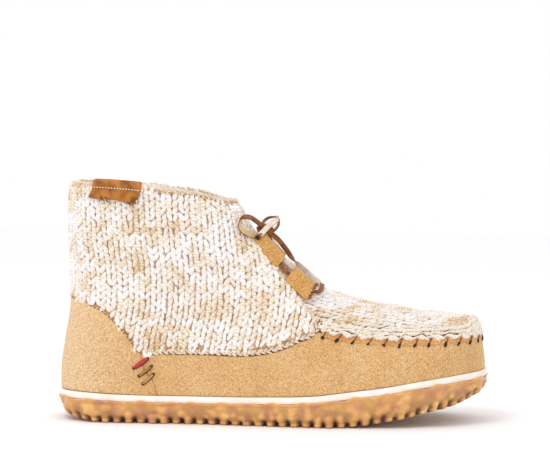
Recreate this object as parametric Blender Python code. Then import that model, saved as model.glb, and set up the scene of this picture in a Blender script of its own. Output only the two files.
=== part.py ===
"""Slipper bootie for a right foot: a knitted upper in a suede moccasin wall on a lugged rubber sole.

Blender 4.5. The tables are in millimetres and the objects in metres. +X points to the toe, +Z up,
and -Y is the outer (lateral) side of the foot. The shoe stands on Z = 0, centred on X = Y = 0.
"""

import math

import bmesh
import bpy
import numpy as np

MM = 0.001
GAP = 0.3  # clearance between neighbouring pieces
SIDES = {-1: "_lateral", 1: "_medial"}
MEDIAL_SHARE = 0.92  # of the lateral side's distances from the middle, on the throat's medial side

# ---------------------------------------------------------------- driving sizes (mm)
MIDDLE = np.array([-1.0, 1.5, 0.0])  # the middle of the sole in the tables, which becomes X = Y = 0
HEEL_X, TOE_X = -130.2, 129.0  # ends of the last at the sole
KNIT = 2.2  # how far the quarters stand out from the body of the upper
WALL = 1.6  # the body of the upper, under the quarters
TONGUE = 2.6
TONGUE_RISE = 1.0  # of its top above the collar
SUEDE = 1.5
COUNTER = 1.9
MIDSOLE = 4.6
INSOLE = 4.5
SOLE_MARGIN = 3.0  # how far the sole stands out from the last, just past the suede
SEAM = 3.4  # how far the puckered moccasin seam stands out
SEAM_BAND = 4.2  # and its width
SEAM_POINTS = 13  # along its line
ROUNDNESS = 2.35  # exponent of the plan and of the arches: 2 is an ellipse
CORNER = 8.0  # exponent where the top of the toe meets its front
AROUND = 42  # points in each ring of the upper
UP = 12  # rings from the sole to the collar
LUG_PITCH = 7.2  # along the edge of the tread
GROOVE = 2.2  # between two lugs
GROOVE_DEPTH = 2.8
WHOLE_GROOVES = (7, 30)  # the first and the last groove that run across, counted from the heel
LUG_LENGTH = 9.0  # of the short grooves round the edge, from the last's outline inward
TAB_THICK = 1.0
TAB_HEIGHT = 4.8  # of the loop that each tab is folded into
TAB_CLEAR = 1.3  # above the tongue
LACE_WIDTH, LACE_THICK = 2.9, 1.3  # a flat leather lace
LACE_RADIUS = 1.3  # of the round cords that stand for it where it is free
LACE_STEP = 6.0  # between the points of those cords
LACE_SECTION = 3.8  # between the sections of the crossings

# Sections across the foot: the axis of the last and its half-widths to either side of it, and the
# heights of the sole's top edge and of its underside.
FOOT = [
    dict(x=-134, axis=0.0, lateral=32.0, medial=32.0, sole_top=18.6, tread=7.5),
    dict(x=-125, axis=0.0, lateral=32.0, medial=32.0, sole_top=18.6, tread=3.0),
    dict(x=-115, axis=0.0, lateral=32.0, medial=32.0, sole_top=18.4, tread=1.0),
    dict(x=-95, axis=0.0, lateral=32.0, medial=31.5, sole_top=17.6, tread=0.0),
    dict(x=-50, axis=0.0, lateral=33.5, medial=30.5, sole_top=17.2, tread=0.0),
    dict(x=-10, axis=-0.5, lateral=39.0, medial=35.0, sole_top=17.8, tread=0.0),
    dict(x=30, axis=0.5, lateral=45.5, medial=43.5, sole_top=19.8, tread=0.0),
    dict(x=42, axis=1.8, lateral=46.4, medial=44.6, sole_top=21.4, tread=0.3),
    dict(x=66, axis=3.0, lateral=46.2, medial=44.8, sole_top=24.5, tread=3.2),
    dict(x=90, axis=5.0, lateral=44.5, medial=43.5, sole_top=28.4, tread=8.0),
    dict(x=110, axis=6.5, lateral=43.0, medial=42.0, sole_top=31.0, tread=12.4),
    dict(x=133, axis=8.0, lateral=41.5, medial=40.5, sole_top=33.2, tread=21.5),
]

# The back of the heel and leg, going up, with the depth over which it rounds into the sides, and the
# half-width of the leg.
BACK = [
    dict(z=10, x=-131.0, round=36.0, half_width=32.0),
    dict(z=30, x=-131.0, round=38.0, half_width=33.0),
    dict(z=50, x=-128.6, round=41.0, half_width=32.5),
    dict(z=73, x=-125.5, round=44.0, half_width=31.5),
    dict(z=92, x=-125.6, round=46.0, half_width=32.0),
    dict(z=112, x=-126.7, round=48.0, half_width=34.0),
    dict(z=132, x=-126.9, round=49.0, half_width=36.0),
    dict(z=160, x=-125.3, round=49.0, half_width=38.0),
]

# The front: down the shin and instep and along the top of the vamp to the toe, with the depth over
# which the ridge rounds into the sides.
RIDGE = [
    dict(x=-39, z=157.0, round=43.0),
    dict(x=-28, z=137.0, round=45.0),
    dict(x=-17, z=121.5, round=51.0),
    dict(x=-6, z=108.0, round=60.0),
    dict(x=8, z=95.0, round=68.0),
    dict(x=27, z=83.0, round=66.0),
    dict(x=46, z=76.3, round=58.0),
    dict(x=62, z=72.7, round=53.0),
    dict(x=77, z=70.2, round=49.0),
    dict(x=95, z=67.4, round=44.0),
    dict(x=110, z=66.6, round=39.0),
    dict(x=124, z=65.8, round=35.0),
    dict(x=145, z=62.5, round=32.0),
]

# The front of the toe, going up, and the depth over which it rounds into the sides.
TOE = [
    dict(z=20, x=129.0, round=60.0),
    dict(z=36, x=128.9, round=60.0),
    dict(z=48, x=127.6, round=60.0),
    dict(z=58, x=125.8, round=60.0),
    dict(z=66, x=124.0, round=60.0),
    dict(z=76, x=120.0, round=60.0),
]

# The collar's edge, from the back to the front.
COLLAR = [
    dict(x=-135, z=147.0),
    dict(x=-113, z=147.0),
    dict(x=-96, z=146.5),
    dict(x=-77, z=144.8),
    dict(x=-58, z=142.2),
    dict(x=-47, z=140.8),
    dict(x=-40, z=138.4),
    dict(x=-33, z=136.3),
    dict(x=-25, z=135.6),
    dict(x=-10, z=131.0),
]

# Lines of the pattern, seen from the side.
COUNTER_TOP = [
    dict(x=-140.0, z=76.0),
    dict(x=-125.0, z=75.6),
    dict(x=-116.0, z=73.9),
    dict(x=-106.0, z=70.4),
    dict(x=-96.6, z=63.1),
    dict(x=-88.5, z=53.8),
    dict(x=-80.7, z=42.4),
]
QUARTER_HEM = [
    dict(x=-80.7, z=42.4),
    dict(x=-66.0, z=43.0),
    dict(x=-44.0, z=43.2),
    dict(x=-7.0, z=43.7),
    dict(x=4.0, z=46.2),
    dict(x=16.0, z=51.6),
    dict(x=25.5, z=56.4),
    dict(x=28.4, z=60.6),
]
THROAT = [
    dict(x=28.4, z=60.6),
    dict(x=26.8, z=64.4),
    dict(x=23.0, z=67.4),
    dict(x=16.0, z=75.2),
    dict(x=5.7, z=88.3),
    dict(x=-3.5, z=100.5),
    dict(x=-12.0, z=112.0),
    dict(x=-18.0, z=121.0),
    dict(x=-22.0, z=129.0),
    dict(x=-25.0, z=137.0),
    dict(x=-30.0, z=150.0),
]
TONGUE_BACK = [
    dict(x=6.0, z=66.0),
    dict(x=-9.0, z=84.0),
    dict(x=-19.0, z=97.0),
    dict(x=-28.0, z=110.0),
    dict(x=-34.0, z=122.0),
    dict(x=-38.0, z=136.0),
    dict(x=-41.0, z=150.0),
]
MOC_SEAM = [
    dict(x=20.0, z=58.6),
    dict(x=28.0, z=57.2),
    dict(x=46.0, z=54.2),
    dict(x=60.0, z=52.9),
    dict(x=77.0, z=52.2),
    dict(x=95.0, z=52.4),
    dict(x=108.0, z=53.0),
    dict(x=122.0, z=53.9),
    dict(x=140.0, z=55.0),
]
TONGUE_FOOT = (28.0, 98.4)  # where the tongue's lower edge leaves the side view
WALL_BACK_FOOT = (-69.0, 14.0)  # the foot of the seam between counter and side wall

# The tabs on each side of the throat: their stations on the ridge, from the upper end to the lower,
# and how far from the middle their outer edges lie there.
TABS = [
    dict(name="upper_tab", top=-11.0, bottom=3.2, edge_top=12.2, edge_bottom=16.9, width=7.8),
    dict(name="lower_tab", top=10.4, bottom=25.0, edge_top=20.6, edge_bottom=27.6, width=10.6),
]

# The lace on the lateral side, from the knot through the tabs to the bar across the front: stations on
# the ridge, distances from the middle, and heights above the tongue.
LACE_SIDE = [
    dict(station=-11.8, y=-4.4, above=4.3),
    dict(station=-13.4, y=-5.4, above=4.2),
    dict(station=-13.4, y=-7.2, above=3.9),
    dict(station=-11.0, y=-7.9, above=3.7),
    dict(station=3.0, y=-12.6, above=3.7),
    dict(station=9.0, y=-14.8, above=3.7),
    dict(station=25.0, y=-21.8, above=3.7),
    dict(station=27.4, y=-20.6, above=3.1),
    dict(station=28.2, y=-17.0, above=2.0),
    dict(station=28.4, y=-9.0, above=1.8),
    dict(station=28.4, y=0.0, above=1.6),
]

# The bow's knot, and the routes of the lace where it is free: two loops and two ends.
KNOT = dict(x=-5.4, y=-3.0, z=118.0, along=3.9, across=3.0, above=3.4)
FREE_LACE = dict(
    lace_loop_lateral=[
        dict(x=-9.0, y=-7.8, z=121.2),
        dict(x=-12.1, y=-10.8, z=123.3),
        dict(x=-15.2, y=-15.2, z=125.5),
        dict(x=-17.6, y=-19.0, z=126.1),
        dict(x=-19.7, y=-22.2, z=125.5),
        dict(x=-21.2, y=-24.8, z=123.9),
        dict(x=-21.8, y=-26.2, z=121.8),
        dict(x=-20.9, y=-26.4, z=119.6),
        dict(x=-18.4, y=-24.4, z=118.0),
        dict(x=-15.6, y=-20.4, z=117.4),
        dict(x=-13.0, y=-15.8, z=118.2),
        dict(x=-10.6, y=-10.6, z=119.2),
    ],
    lace_loop_medial=[
        dict(x=-9.6, y=-14.6, z=121.6),
        dict(x=-8.0, y=-14.0, z=121.0),
        dict(x=-5.1, y=-11.4, z=121.4),
        dict(x=-2.1, y=-7.8, z=122.9),
        dict(x=0.6, y=-5.2, z=124.2),
        dict(x=1.4, y=-2.8, z=124.8),
        dict(x=0.2, y=-0.6, z=125.3),
        dict(x=-2.8, y=1.6, z=125.5),
        dict(x=-5.6, y=2.2, z=124.7),
        dict(x=-7.4, y=0.4, z=122.6),
        dict(x=-7.0, y=-1.2, z=122.3),
    ],
    lace_end_lateral=[
        dict(x=-2.1, y=-5.2, z=115.5),
        dict(x=3.4, y=-5.6, z=109.8),
        dict(x=6.9, y=-5.6, z=105.1),
        dict(x=9.8, y=-5.4, z=101.1),
        dict(x=14.4, y=-7.0, z=96.4),
        dict(x=19.0, y=-7.8, z=92.4),
        dict(x=23.4, y=-8.2, z=88.8),
        dict(x=27.0, y=-8.6, z=86.0),
    ],
    lace_end_medial=[
        dict(x=-3.4, y=-0.8, z=113.4),
        dict(x=-1.4, y=-1.8, z=109.8),
        dict(x=0.6, y=-4.6, z=105.4),
        dict(x=3.9, y=-7.2, z=101.6),
        dict(x=8.9, y=-9.2, z=97.8),
        dict(x=13.4, y=-10.4, z=94.2),
        dict(x=18.4, y=-11.0, z=90.2),
        dict(x=23.2, y=-11.4, z=86.4),
    ],
)

# The label on the lateral side of the collar: its ends at the fold and at its lower edge.
LABEL = dict(fold=(-109.4, -80.4), low=(-112.0, -84.6), drop=10.4, inside_drop=8.0, thick=1.2)


# ---------------------------------------------------------------- smooth curves through the tables
def hermite(at, x, y):
    """The smooth curve through points (x, y), at the places asked for, flat at each peak."""
    slope = np.gradient(y, x)
    chord = np.diff(y) / np.diff(x)
    slope[1:-1] *= chord[1:] * chord[:-1] > 0
    at = np.clip(at, x[0], x[-1])
    i = np.clip(np.searchsorted(x, at) - 1, 0, len(x) - 2)
    step = x[i + 1] - x[i]
    t = (at - x[i]) / step
    ends = (1 + 2 * t) * (1 - t) ** 2 * y[i] + t * t * (3 - 2 * t) * y[i + 1]
    return ends + t * (1 - t) * step * ((1 - t) * slope[i] - t * slope[i + 1])


def column(rows, name):
    return np.array([row[name] for row in rows], float)


def through(rows, across, up):
    """A smooth function through two named columns of a table."""
    return lambda at: hermite(at, column(rows, across), column(rows, up))


def smooth_line(rows, per_step=2):
    """Side-view points (x, z) along the smooth line through a table's rows."""
    x, z = column(rows, "x"), column(rows, "z")
    walked = np.r_[0, np.cumsum(np.hypot(np.diff(x), np.diff(z)))]
    stops = np.interp(np.arange(per_step * (len(x) - 1) + 1) / per_step, np.arange(len(x)), walked)
    return np.stack([hermite(stops, walked, x), hermite(stops, walked, z)], axis=1)


axis_y = through(FOOT, "x", "axis")
lateral_width = through(FOOT, "x", "lateral")
medial_width = through(FOOT, "x", "medial")
sole_top = through(FOOT, "x", "sole_top")
tread = through(FOOT, "x", "tread")
back_x = through(BACK, "z", "x")
back_round = through(BACK, "z", "round")
leg_width = through(BACK, "z", "half_width")
toe_x = through(TOE, "z", "x")
toe_round = through(TOE, "z", "round")
collar_z = through(COLLAR, "x", "z")
seam_z = through(MOC_SEAM, "x", "z")

ridge_x = np.linspace(RIDGE[0]["x"], RIDGE[-1]["x"], 240)
ridge_z = through(RIDGE, "x", "z")(ridge_x)
ridge_round = through(RIDGE, "x", "round")(ridge_x)
ridge_slope = np.gradient(ridge_z, ridge_x)
ridge_walk = np.r_[0, np.cumsum(np.hypot(np.diff(ridge_x), np.diff(ridge_z)))]
COLLAR_FRONT_X = ridge_x[np.argmin(np.abs(ridge_z - collar_z(ridge_x)))]


def smoothstep(t):
    t = np.clip(t, 0, 1)
    return t * t * (3 - 2 * t)


# ---------------------------------------------------------------- the last
def ridge_depth(x, z):
    """How far a side-view point lies inside the line of the front, as a share of its rounding."""
    x, z = np.atleast_1d(x), np.atleast_1d(z)
    nearest = np.argmin((x[:, None] - ridge_x) ** 2 + (z[:, None] - ridge_z) ** 2, axis=1)
    slope = ridge_slope[nearest]
    inward = (x - ridge_x[nearest]) * slope - (z - ridge_z[nearest])
    return inward / np.hypot(slope, 1) / ridge_round[nearest]


def last(points):
    """The last's field: negative inside it, zero on its surface and positive outside."""
    x, y, z = points.T
    side = y - axis_y(x)
    foot = np.where(side < 0, lateral_width(x), medial_width(x))
    leg = smoothstep((z - 30) / 65) * smoothstep((35 - x) / 70)
    half_width = foot * (1 - leg) + leg_width(z) * leg
    top = np.maximum(1 - ridge_depth(x, z), 0)
    toe = np.maximum(1 - (toe_x(z) - x) / toe_round(z), 0)
    heel = np.maximum(1 - (x - back_x(z)) / back_round(z), 0)
    front = (top**CORNER + toe**CORNER) ** (ROUNDNESS / CORNER)
    return np.abs(side / half_width) ** ROUNDNESS + front + heel**ROUNDNESS - 1


def normals(points):
    """Unit vectors that point out of the last."""
    step = 0.05
    gradient = np.stack(
        [last(points + step * way) - last(points - step * way) for way in np.eye(3)], axis=1
    )
    return gradient / np.linalg.norm(gradient, axis=1, keepdims=True)


def surface_between(inside, outside):
    """The point of the last's surface on each line from a point inside it to one outside it."""
    near, far = np.zeros(len(inside)), np.ones(len(inside))
    for _ in range(36):
        middle = (near + far) / 2
        is_in = last(inside + middle[:, None] * (outside - inside)) < 0
        near, far = np.where(is_in, middle, near), np.where(is_in, far, middle)
    return inside + near[:, None] * (outside - inside)


def ring(height, centre_x, count=AROUND):
    """One ring of points round the last where z = height(x), evenly spaced from the back of the heel
    along the lateral side to the front, and back along the medial side."""
    fine = 720
    turn = np.linspace(math.pi, 3 * math.pi, fine + 1)
    reach = np.zeros(len(turn))
    bounds = [np.zeros(len(turn)), np.full(len(turn), 190.0)]
    for _ in range(36):
        reach = (bounds[0] + bounds[1]) / 2
        x, y = centre_x + reach * np.cos(turn), reach * np.sin(turn)
        is_in = last(np.stack([x, y, height(x)], axis=1)) < 0
        bounds = [np.where(is_in, reach, bounds[0]), np.where(is_in, bounds[1], reach)]
    points = np.stack([x, y, height(x)], axis=1)
    walked = np.r_[0, np.cumsum(np.linalg.norm(np.diff(points, axis=0), axis=1))]
    front = walked[fine // 2]
    lateral = np.linspace(0, front, count // 2, endpoint=False)
    medial = np.linspace(front, walked[-1], count // 2, endpoint=False)
    stops = np.r_[lateral, medial]
    return np.stack([np.interp(stops, walked, points[:, i]) for i in range(3)], axis=1)


def front_point(share):
    """A point on the front line, from the sole at the toe (0) over the vamp to the collar (1)."""
    toe_corner_x = 121.0
    sole_z = sole_top(TOE_X)
    toe_height = np.interp(toe_corner_x, ridge_x, ridge_z) - sole_z
    corner = np.interp(toe_corner_x, ridge_x, ridge_walk)
    top = np.interp(COLLAR_FRONT_X, ridge_x, ridge_walk)
    walked = share * (corner - top + toe_height)
    if walked < toe_height:
        return toe_x(sole_z + walked), sole_z + walked
    walk = corner - (walked - toe_height)
    return np.interp(walk, ridge_walk, ridge_x), np.interp(walk, ridge_walk, ridge_z)


def straight(x, start, end):
    return start[1] + (end[1] - start[1]) * (x - start[0]) / (end[0] - start[0])


def ring_height(share, lift, rise):
    """The height, over x, of the ring at a share of the way from the sole to the collar. The first
    ring follows the sole's top and the last one the collar, raised by lift and rise."""
    heel = (HEEL_X, sole_top(HEEL_X))
    toe = (TOE_X, sole_top(TOE_X))
    collar_back = (back_x(COLLAR[0]["z"]), COLLAR[0]["z"])
    collar_front = (COLLAR_FRONT_X, collar_z(COLLAR_FRONT_X))
    back_z = heel[1] + share * (collar_back[1] - heel[1])
    back, front = (back_x(back_z), back_z), front_point(share)

    def height(x):
        bottom = (1 - share) ** 3 * (sole_top(x) - straight(x, heel, toe))
        top = share**6 * (collar_z(x) - straight(x, collar_back, collar_front) + rise)
        return straight(x, back, front) + bottom + top + lift * (1 - share) ** 6

    return height


def rings(lift=GAP, rise=0.0):
    """The grid of points on the last that every piece of the upper is taken from."""
    shares = np.linspace(0, 1, UP + 1)
    return np.array([ring(ring_height(s, lift, rise), -77.0 * s**0.6) for s in shares])


def offset(grid, distance):
    """The grid moved out along its normals, with its first and last rings kept on sole and collar."""
    flat = grid.reshape(-1, 3)
    moved = (flat + distance * normals(flat)).reshape(grid.shape)
    moved[0, :, 2] = grid[0, :, 2] + sole_top(moved[0, :, 0]) - sole_top(grid[0, :, 0])
    moved[-1, :, 2] = grid[-1, :, 2]
    return moved


def on_top(station_x, y, distance=0.0):
    """Points over the ridge: beside its point at station_x, y across, and distance above the last."""
    station_x, y, distance = np.broadcast_arrays(
        np.atleast_1d(station_x).astype(float), y, distance
    )
    z = np.interp(station_x, ridge_x, ridge_z)
    slope = np.interp(station_x, ridge_x, ridge_slope)
    way = np.stack([-slope, 0 * slope, np.ones(len(slope))], axis=1)
    way = way / np.linalg.norm(way, axis=1, keepdims=True)
    ridge = np.stack([station_x, y, z], axis=1)
    points = surface_between(ridge - 45 * way, ridge + 8 * way)
    return points + distance[:, None] * normals(points)


def on_side(x, z, distance=0.0, side=-1):
    """Points on the lateral (-1) or medial (1) side of the last, over a side-view point."""
    x, z, distance = np.broadcast_arrays(np.atleast_1d(x).astype(float), z, distance)
    middle = np.stack([x, axis_y(x), z], axis=1)
    points = surface_between(middle, middle + np.array([0, side * 80.0, 0]))
    return points + distance[:, None] * normals(points)


# ---------------------------------------------------------------- making objects
def remove_all():
    for obj in list(bpy.data.objects):
        bpy.data.objects.remove(obj)


def material(name, colour, roughness):
    made = bpy.data.materials.new(name)
    made.use_nodes = True
    shader = made.node_tree.nodes["Principled BSDF"]
    shader.inputs["Base Color"].default_value = (*colour, 1)
    shader.inputs["Roughness"].default_value = roughness
    made.diffuse_color = (*colour, 1)
    return made


def add_mesh(name, points, faces):
    mesh = bpy.data.meshes.new(name)
    mesh.from_pydata([tuple(point) for point in (np.asarray(points) - MIDDLE) * MM], [], faces)
    obj = bpy.data.objects.new(name, mesh)
    bpy.context.collection.objects.link(obj)
    shaped = bmesh.new()
    shaped.from_mesh(mesh)
    bmesh.ops.recalc_face_normals(shaped, faces=shaped.faces)
    shaped.to_mesh(mesh)
    shaped.free()
    return obj


def band(low, high, around):
    """Triangles between two loops of points, given the index of the first point of each."""
    faces = []
    for i in range(around):
        after = (i + 1) % around
        faces += [(low + i, low + after, high + after), (low + i, high + after, high + i)]
    return faces


def skin(loops, around, first=0):
    """Triangles between neighbouring loops of points."""
    starts = [first + row * around for row in range(loops)]
    return [face for low, high in zip(starts, starts[1:]) for face in band(low, high, around)]


def strips(first, around):
    """Faces that close a loop of points with strips from its lateral to its medial half."""
    half = around // 2
    return [
        tuple(
            dict.fromkeys(
                (first + i, first + i + 1, first + (around - i - 1) % around, first + (around - i) % around)
            )
        )
        for i in range(half)
    ]


def hollow(name, outer, inner):
    """A wall between two grids of points, open at both ends."""
    rows, around = outer.shape[:2]
    size = rows * around
    walls = skin(rows, around) + skin(rows, around, first=size)
    rims = band(0, size, around) + band(size - around, 2 * size - around, around)
    return add_mesh(name, np.concatenate([outer, inner]).reshape(-1, 3), walls + rims)


def shell(name, inner, outer, lift=GAP, rise=0.0):
    """A wall between two offsets of the last, open at the bottom and at the collar."""
    grid = rings(lift, rise)
    return hollow(name, offset(grid, outer), offset(grid, inner))


def sweep(name, loops):
    """A solid through flat loops of points, each point facing the one as far from the loop's end."""
    count = len(loops[0])
    ends = []
    for first in (0, (len(loops) - 1) * count):
        for i in range(count // 2 - 1):
            facing = count - 1 - i
            ends.append((first + i, first + i + 1, first + facing - 1, first + facing))
    return add_mesh(name, np.concatenate(loops), skin(len(loops), count) + ends)


def walk(points):
    """The distance along a line of points to each of them."""
    return np.r_[0, np.cumsum(np.linalg.norm(np.diff(points, axis=0), axis=1))]


def sole_edge(count):
    """Points round the last on the sole's top, and the level ways out from them."""
    base = ring(sole_top, 0.0, count)
    out = normals(base) * [1, 1, 0]
    return base, out / np.linalg.norm(out, axis=1, keepdims=True)


def plate(name, rows, count=56):
    """A layer of the sole: a stack of outlines, each a distance out from the last at a height."""
    base, out = sole_edge(count)
    stack = []
    for row in rows:
        loop = base + row["out"] * out
        loop[:, 2] = row["height"](loop[:, 0])
        stack.append(loop)
    ends = strips(0, count) + strips((len(stack) - 1) * count, count)
    return add_mesh(name, np.concatenate(stack), skin(len(stack), count) + ends)


def slab(name, outline, near=-90.0, far=90.0):
    """A side-view outline of (x, z) points, extruded across the shoe."""
    count = len(outline)
    points = [(x, y, z) for y in (near, far) for x, z in outline]
    ends = [tuple(range(count)), tuple(range(2 * count - 1, count - 1, -1))]
    return add_mesh(name, points, skin(2, count) + ends)


def combine(obj, other, operation):
    """Applies a Boolean with another object, and removes that object."""
    modifier = obj.modifiers.new("combine", "BOOLEAN")
    modifier.operation = operation
    modifier.solver = "EXACT"
    modifier.object = other
    bpy.context.view_layer.update()
    graph = bpy.context.evaluated_depsgraph_get()
    made = bpy.data.meshes.new_from_object(obj.evaluated_get(graph))
    obj.modifiers.clear()
    obj.data = made
    bpy.data.objects.remove(other)
    return obj


def finish(obj, slot):
    obj.data.materials.clear()
    obj.data.materials.append(slot)
    obj.data.shade_smooth()
    obj.data.set_sharp_from_angle(angle=math.radians(35))
    return obj


# ---------------------------------------------------------------- the pieces
def moved_line(line, dx, dz):
    return [(x + dx, z + dz) for x, z in line]


def quarter_outline():
    """Both quarters from the side: over the counter, along the hem, and up the throat."""
    counter, hem, throat = (smooth_line(rows) for rows in (COUNTER_TOP, QUARTER_HEM, THROAT))
    lines = [*counter, *hem[1:], *throat[1:]]
    return [*lines, (-33, 168), (-150, 168), (-150, 74)]


def tongue_outline(clearance):
    """The tongue from the side. It runs on under the quarters' front edges."""
    back = moved_line(smooth_line(TONGUE_BACK), -1.2 * clearance, 0)
    back[0] = (TONGUE_BACK[0]["x"], TONGUE_BACK[0]["z"] - 1.7 * clearance)
    foot = (TONGUE_FOOT[0] + 0.8 * clearance, TONGUE_FOOT[1] - 0.6 * clearance)
    return [*back, (-42, 175), (60, 175), foot]


def wall_outline():
    """The suede side wall from the side: below the hem and the moccasin seam."""
    hem = [point for point in moved_line(smooth_line(QUARTER_HEM), 0.5, -0.5) if point[0] < 26]
    seam = [(x, seam_z(x) - 0.3) for x in np.linspace(30, 140, SEAM_POINTS)]
    return [*hem, *seam, (150, 60), (150, -5), WALL_BACK_FOOT]


def counter_outline():
    top = moved_line(smooth_line(COUNTER_TOP), -0.3, -0.4)
    return [*top, (WALL_BACK_FOOT[0] - 0.7, WALL_BACK_FOOT[1] - 0.4), (-150, 13), (-150, 74)]


def seam_outline():
    """The band of the moccasin seam, which starts in front of the rounded corner of the quarters."""
    xs = np.linspace(29.6, 140, SEAM_POINTS)
    low = [(x, seam_z(x)) for x in xs]
    return [*low, *moved_line(low[::-1], 0, SEAM_BAND)]


def upper():
    """One hollow wall: the quarters stand out from its body, and their fronts overlap the tongue."""
    body = shell("upper", -WALL, 0.0, rise=-1.0)
    quarters = combine(
        shell("quarters", -WALL / 2, KNIT), slab("quarter_cut", quarter_outline()), "INTERSECT"
    )
    under_flaps = combine(
        shell("under_flaps", -WALL - 1.0, GAP, rise=TONGUE_RISE),
        slab("tongue_cut", tongue_outline(0.4)),
        "INTERSECT",
    )
    combine(body, quarters, "UNION")
    return combine(body, under_flaps, "DIFFERENCE")


def tongue():
    return combine(
        shell("tongue", -TONGUE, 0.0, rise=TONGUE_RISE), slab("tongue_edge", tongue_outline(0.0)), "INTERSECT"
    )


def overlay(name, outline, thickness):
    """A suede piece cut from a larger wall that follows the last."""
    return combine(shell(name, GAP, GAP + thickness), slab(name + "_cut", outline), "INTERSECT")


def midsole():
    def low(x):
        return sole_top(x) - MIDSOLE

    edge = 0.7
    return plate(
        "midsole",
        [
            dict(height=sole_top, out=SOLE_MARGIN - edge),
            dict(height=lambda x: sole_top(x) - edge, out=SOLE_MARGIN),
            dict(height=lambda x: low(x) + edge, out=SOLE_MARGIN),
            dict(height=low, out=SOLE_MARGIN - edge),
        ],
    )


def insole():
    inside = -WALL - 1.5
    return plate(
        "insole",
        [
            dict(height=lambda x: sole_top(x) + INSOLE, out=inside - 1.5),
            dict(height=lambda x: sole_top(x) + INSOLE - 1.2, out=inside),
            dict(height=lambda x: sole_top(x) + GAP, out=inside),
        ],
    )


def outsole():
    def top(x):
        return sole_top(x) - MIDSOLE - GAP

    def share(t):
        return lambda x: tread(x) + t * (top(x) - tread(x))

    sole = plate(
        "outsole",
        [
            dict(height=top, out=SOLE_MARGIN - 0.6),
            dict(height=share(0.93), out=SOLE_MARGIN),
            dict(height=share(0.4), out=SOLE_MARGIN - 0.2),
            dict(height=tread, out=SOLE_MARGIN - 3.0),
        ],
    )
    return combine(sole, tread_grooves(), "DIFFERENCE")


def across(side):
    """What a lateral distance from the middle is multiplied by on either side of the throat."""
    return -1.0 if side < 0 else MEDIAL_SHARE


def tread_grooves():
    """Cutters between the lugs: every fourth one runs across the sole, and the others are short."""
    count = 2 * round(walk(sole_edge(64)[0])[-1] / LUG_PITCH / 2)
    base, out = sole_edge(count)
    points, faces = [], []
    for i in range(count):
        facing = (count - i) % count
        whole = i % 4 == 0 and WHOLE_GROOVES[0] <= min(i, facing) <= WHOLE_GROOVES[1]
        if whole and i > facing:
            continue
        start = base[i] + 2 * SOLE_MARGIN * out[i]
        end = base[facing] + 2 * SOLE_MARGIN * out[facing] if whole else base[i] - LUG_LENGTH * out[i]
        along = (end - start) * [1, 1, 0]
        side = np.array([along[1], -along[0], 0]) / np.linalg.norm(along) * GROOVE / 2
        first = len(points)
        for at in (start, end):
            top = tread(at[0]) + GROOVE_DEPTH
            for way, z in ((1, -3.0), (-1, -3.0), (-1, top), (1, top)):
                points.append([at[0] + way * side[0], at[1] + way * side[1], z])
        faces += band(first, first + 4, 4)
        faces += [tuple(range(first, first + 4)), tuple(range(first + 4, first + 8))]
    return add_mesh("tread_grooves", points, faces)


def eyelet_tab(tab, side):
    """A suede strip folded over into a loop along the throat, which the lace runs through."""
    width, high, thick, fold = tab["width"], TAB_HEIGHT, TAB_THICK, 1.4
    outer = [(0, 0), (width - fold, 0), (width, fold), (width, high - fold)]
    outer += [(width - fold, high), (2.2, high), (0.6, high - 1.2), (0, 1.2)]
    inside, top = width - thick, high - thick
    inner = [(1.4, thick), (inside - 0.6, thick), (inside, thick + 0.6), (inside, top - 0.6)]
    inner += [(inside - 0.6, top), (2.6, top), (1.7, top - 0.7), (1.4, thick + 0.4)]
    grids = []
    for profile in (np.array(outer), np.array(inner)):
        rows = []
        for share in np.linspace(0, 1, 4):
            station = tab["top"] + share * (tab["bottom"] - tab["top"])
            edge = tab["edge_top"] + share * (tab["edge_bottom"] - tab["edge_top"])
            y = axis_y(station) + across(side) * (edge - profile[:, 0])
            rows.append(on_top(station, y, TAB_CLEAR + profile[:, 1]))
        grids.append(np.array(rows))
    return hollow(tab["name"] + SIDES[side], *grids)


def collar_label():
    """A leather label folded over the collar on its lateral side."""
    out, back, thick = KNIT + 2 * GAP, -WALL - 2 * GAP, LABEL["thick"]
    loops = []
    for share in np.linspace(0, 1, 6):
        fold_x, low_x = (ends[0] + share * (ends[1] - ends[0]) for ends in (LABEL["fold"], LABEL["low"]))
        z = collar_z(fold_x)
        corners = [
            (low_x, z - LABEL["drop"], out + thick),
            (fold_x, z - 2.0, out + thick),
            (fold_x, z + 2 * GAP + thick, out),
            (fold_x, z + 2 * GAP + thick, back),
            (fold_x, z - 2.0, back - thick),
            (fold_x, z - LABEL["inside_drop"], back - thick),
            (fold_x, z - LABEL["inside_drop"], back),
            (fold_x, z - 2.0, back),
            (fold_x, z + 2 * GAP, back + 0.2),
            (fold_x, z + 2 * GAP, out - 0.2),
            (fold_x, z - 2.0, out),
            (low_x, z - LABEL["drop"], out),
        ]
        loops.append(np.concatenate([on_side(*corner) for corner in corners]))
    return sweep("collar_label", loops)


def even_points(points, columns, step):
    """Points a step apart along a line of points, each of them smoothed between its columns."""
    walked = walk(points)
    stops = np.linspace(0, walked[-1], round(walked[-1] / step) + 1)
    return [hermite(stops, walked, values) for values in columns]


def free_cord(name, route):
    """A free stretch of the lace, as a round cord."""
    curve = bpy.data.curves.new(name, "CURVE")
    curve.dimensions = "3D"
    curve.bevel_depth = LACE_RADIUS * MM
    curve.bevel_resolution = 2
    curve.use_fill_caps = True
    spline = curve.splines.new("POLY")
    columns = [column(route, name) for name in "xyz"]
    points = np.stack(even_points(np.stack(columns, axis=1), columns, LACE_STEP), axis=1)
    spline.points.add(len(points) - 1)
    for point, place in zip(spline.points, (points - MIDDLE) * MM):
        point.co = (*place, 1)
    obj = bpy.data.objects.new(name, curve)
    bpy.context.collection.objects.link(obj)
    return obj


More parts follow.
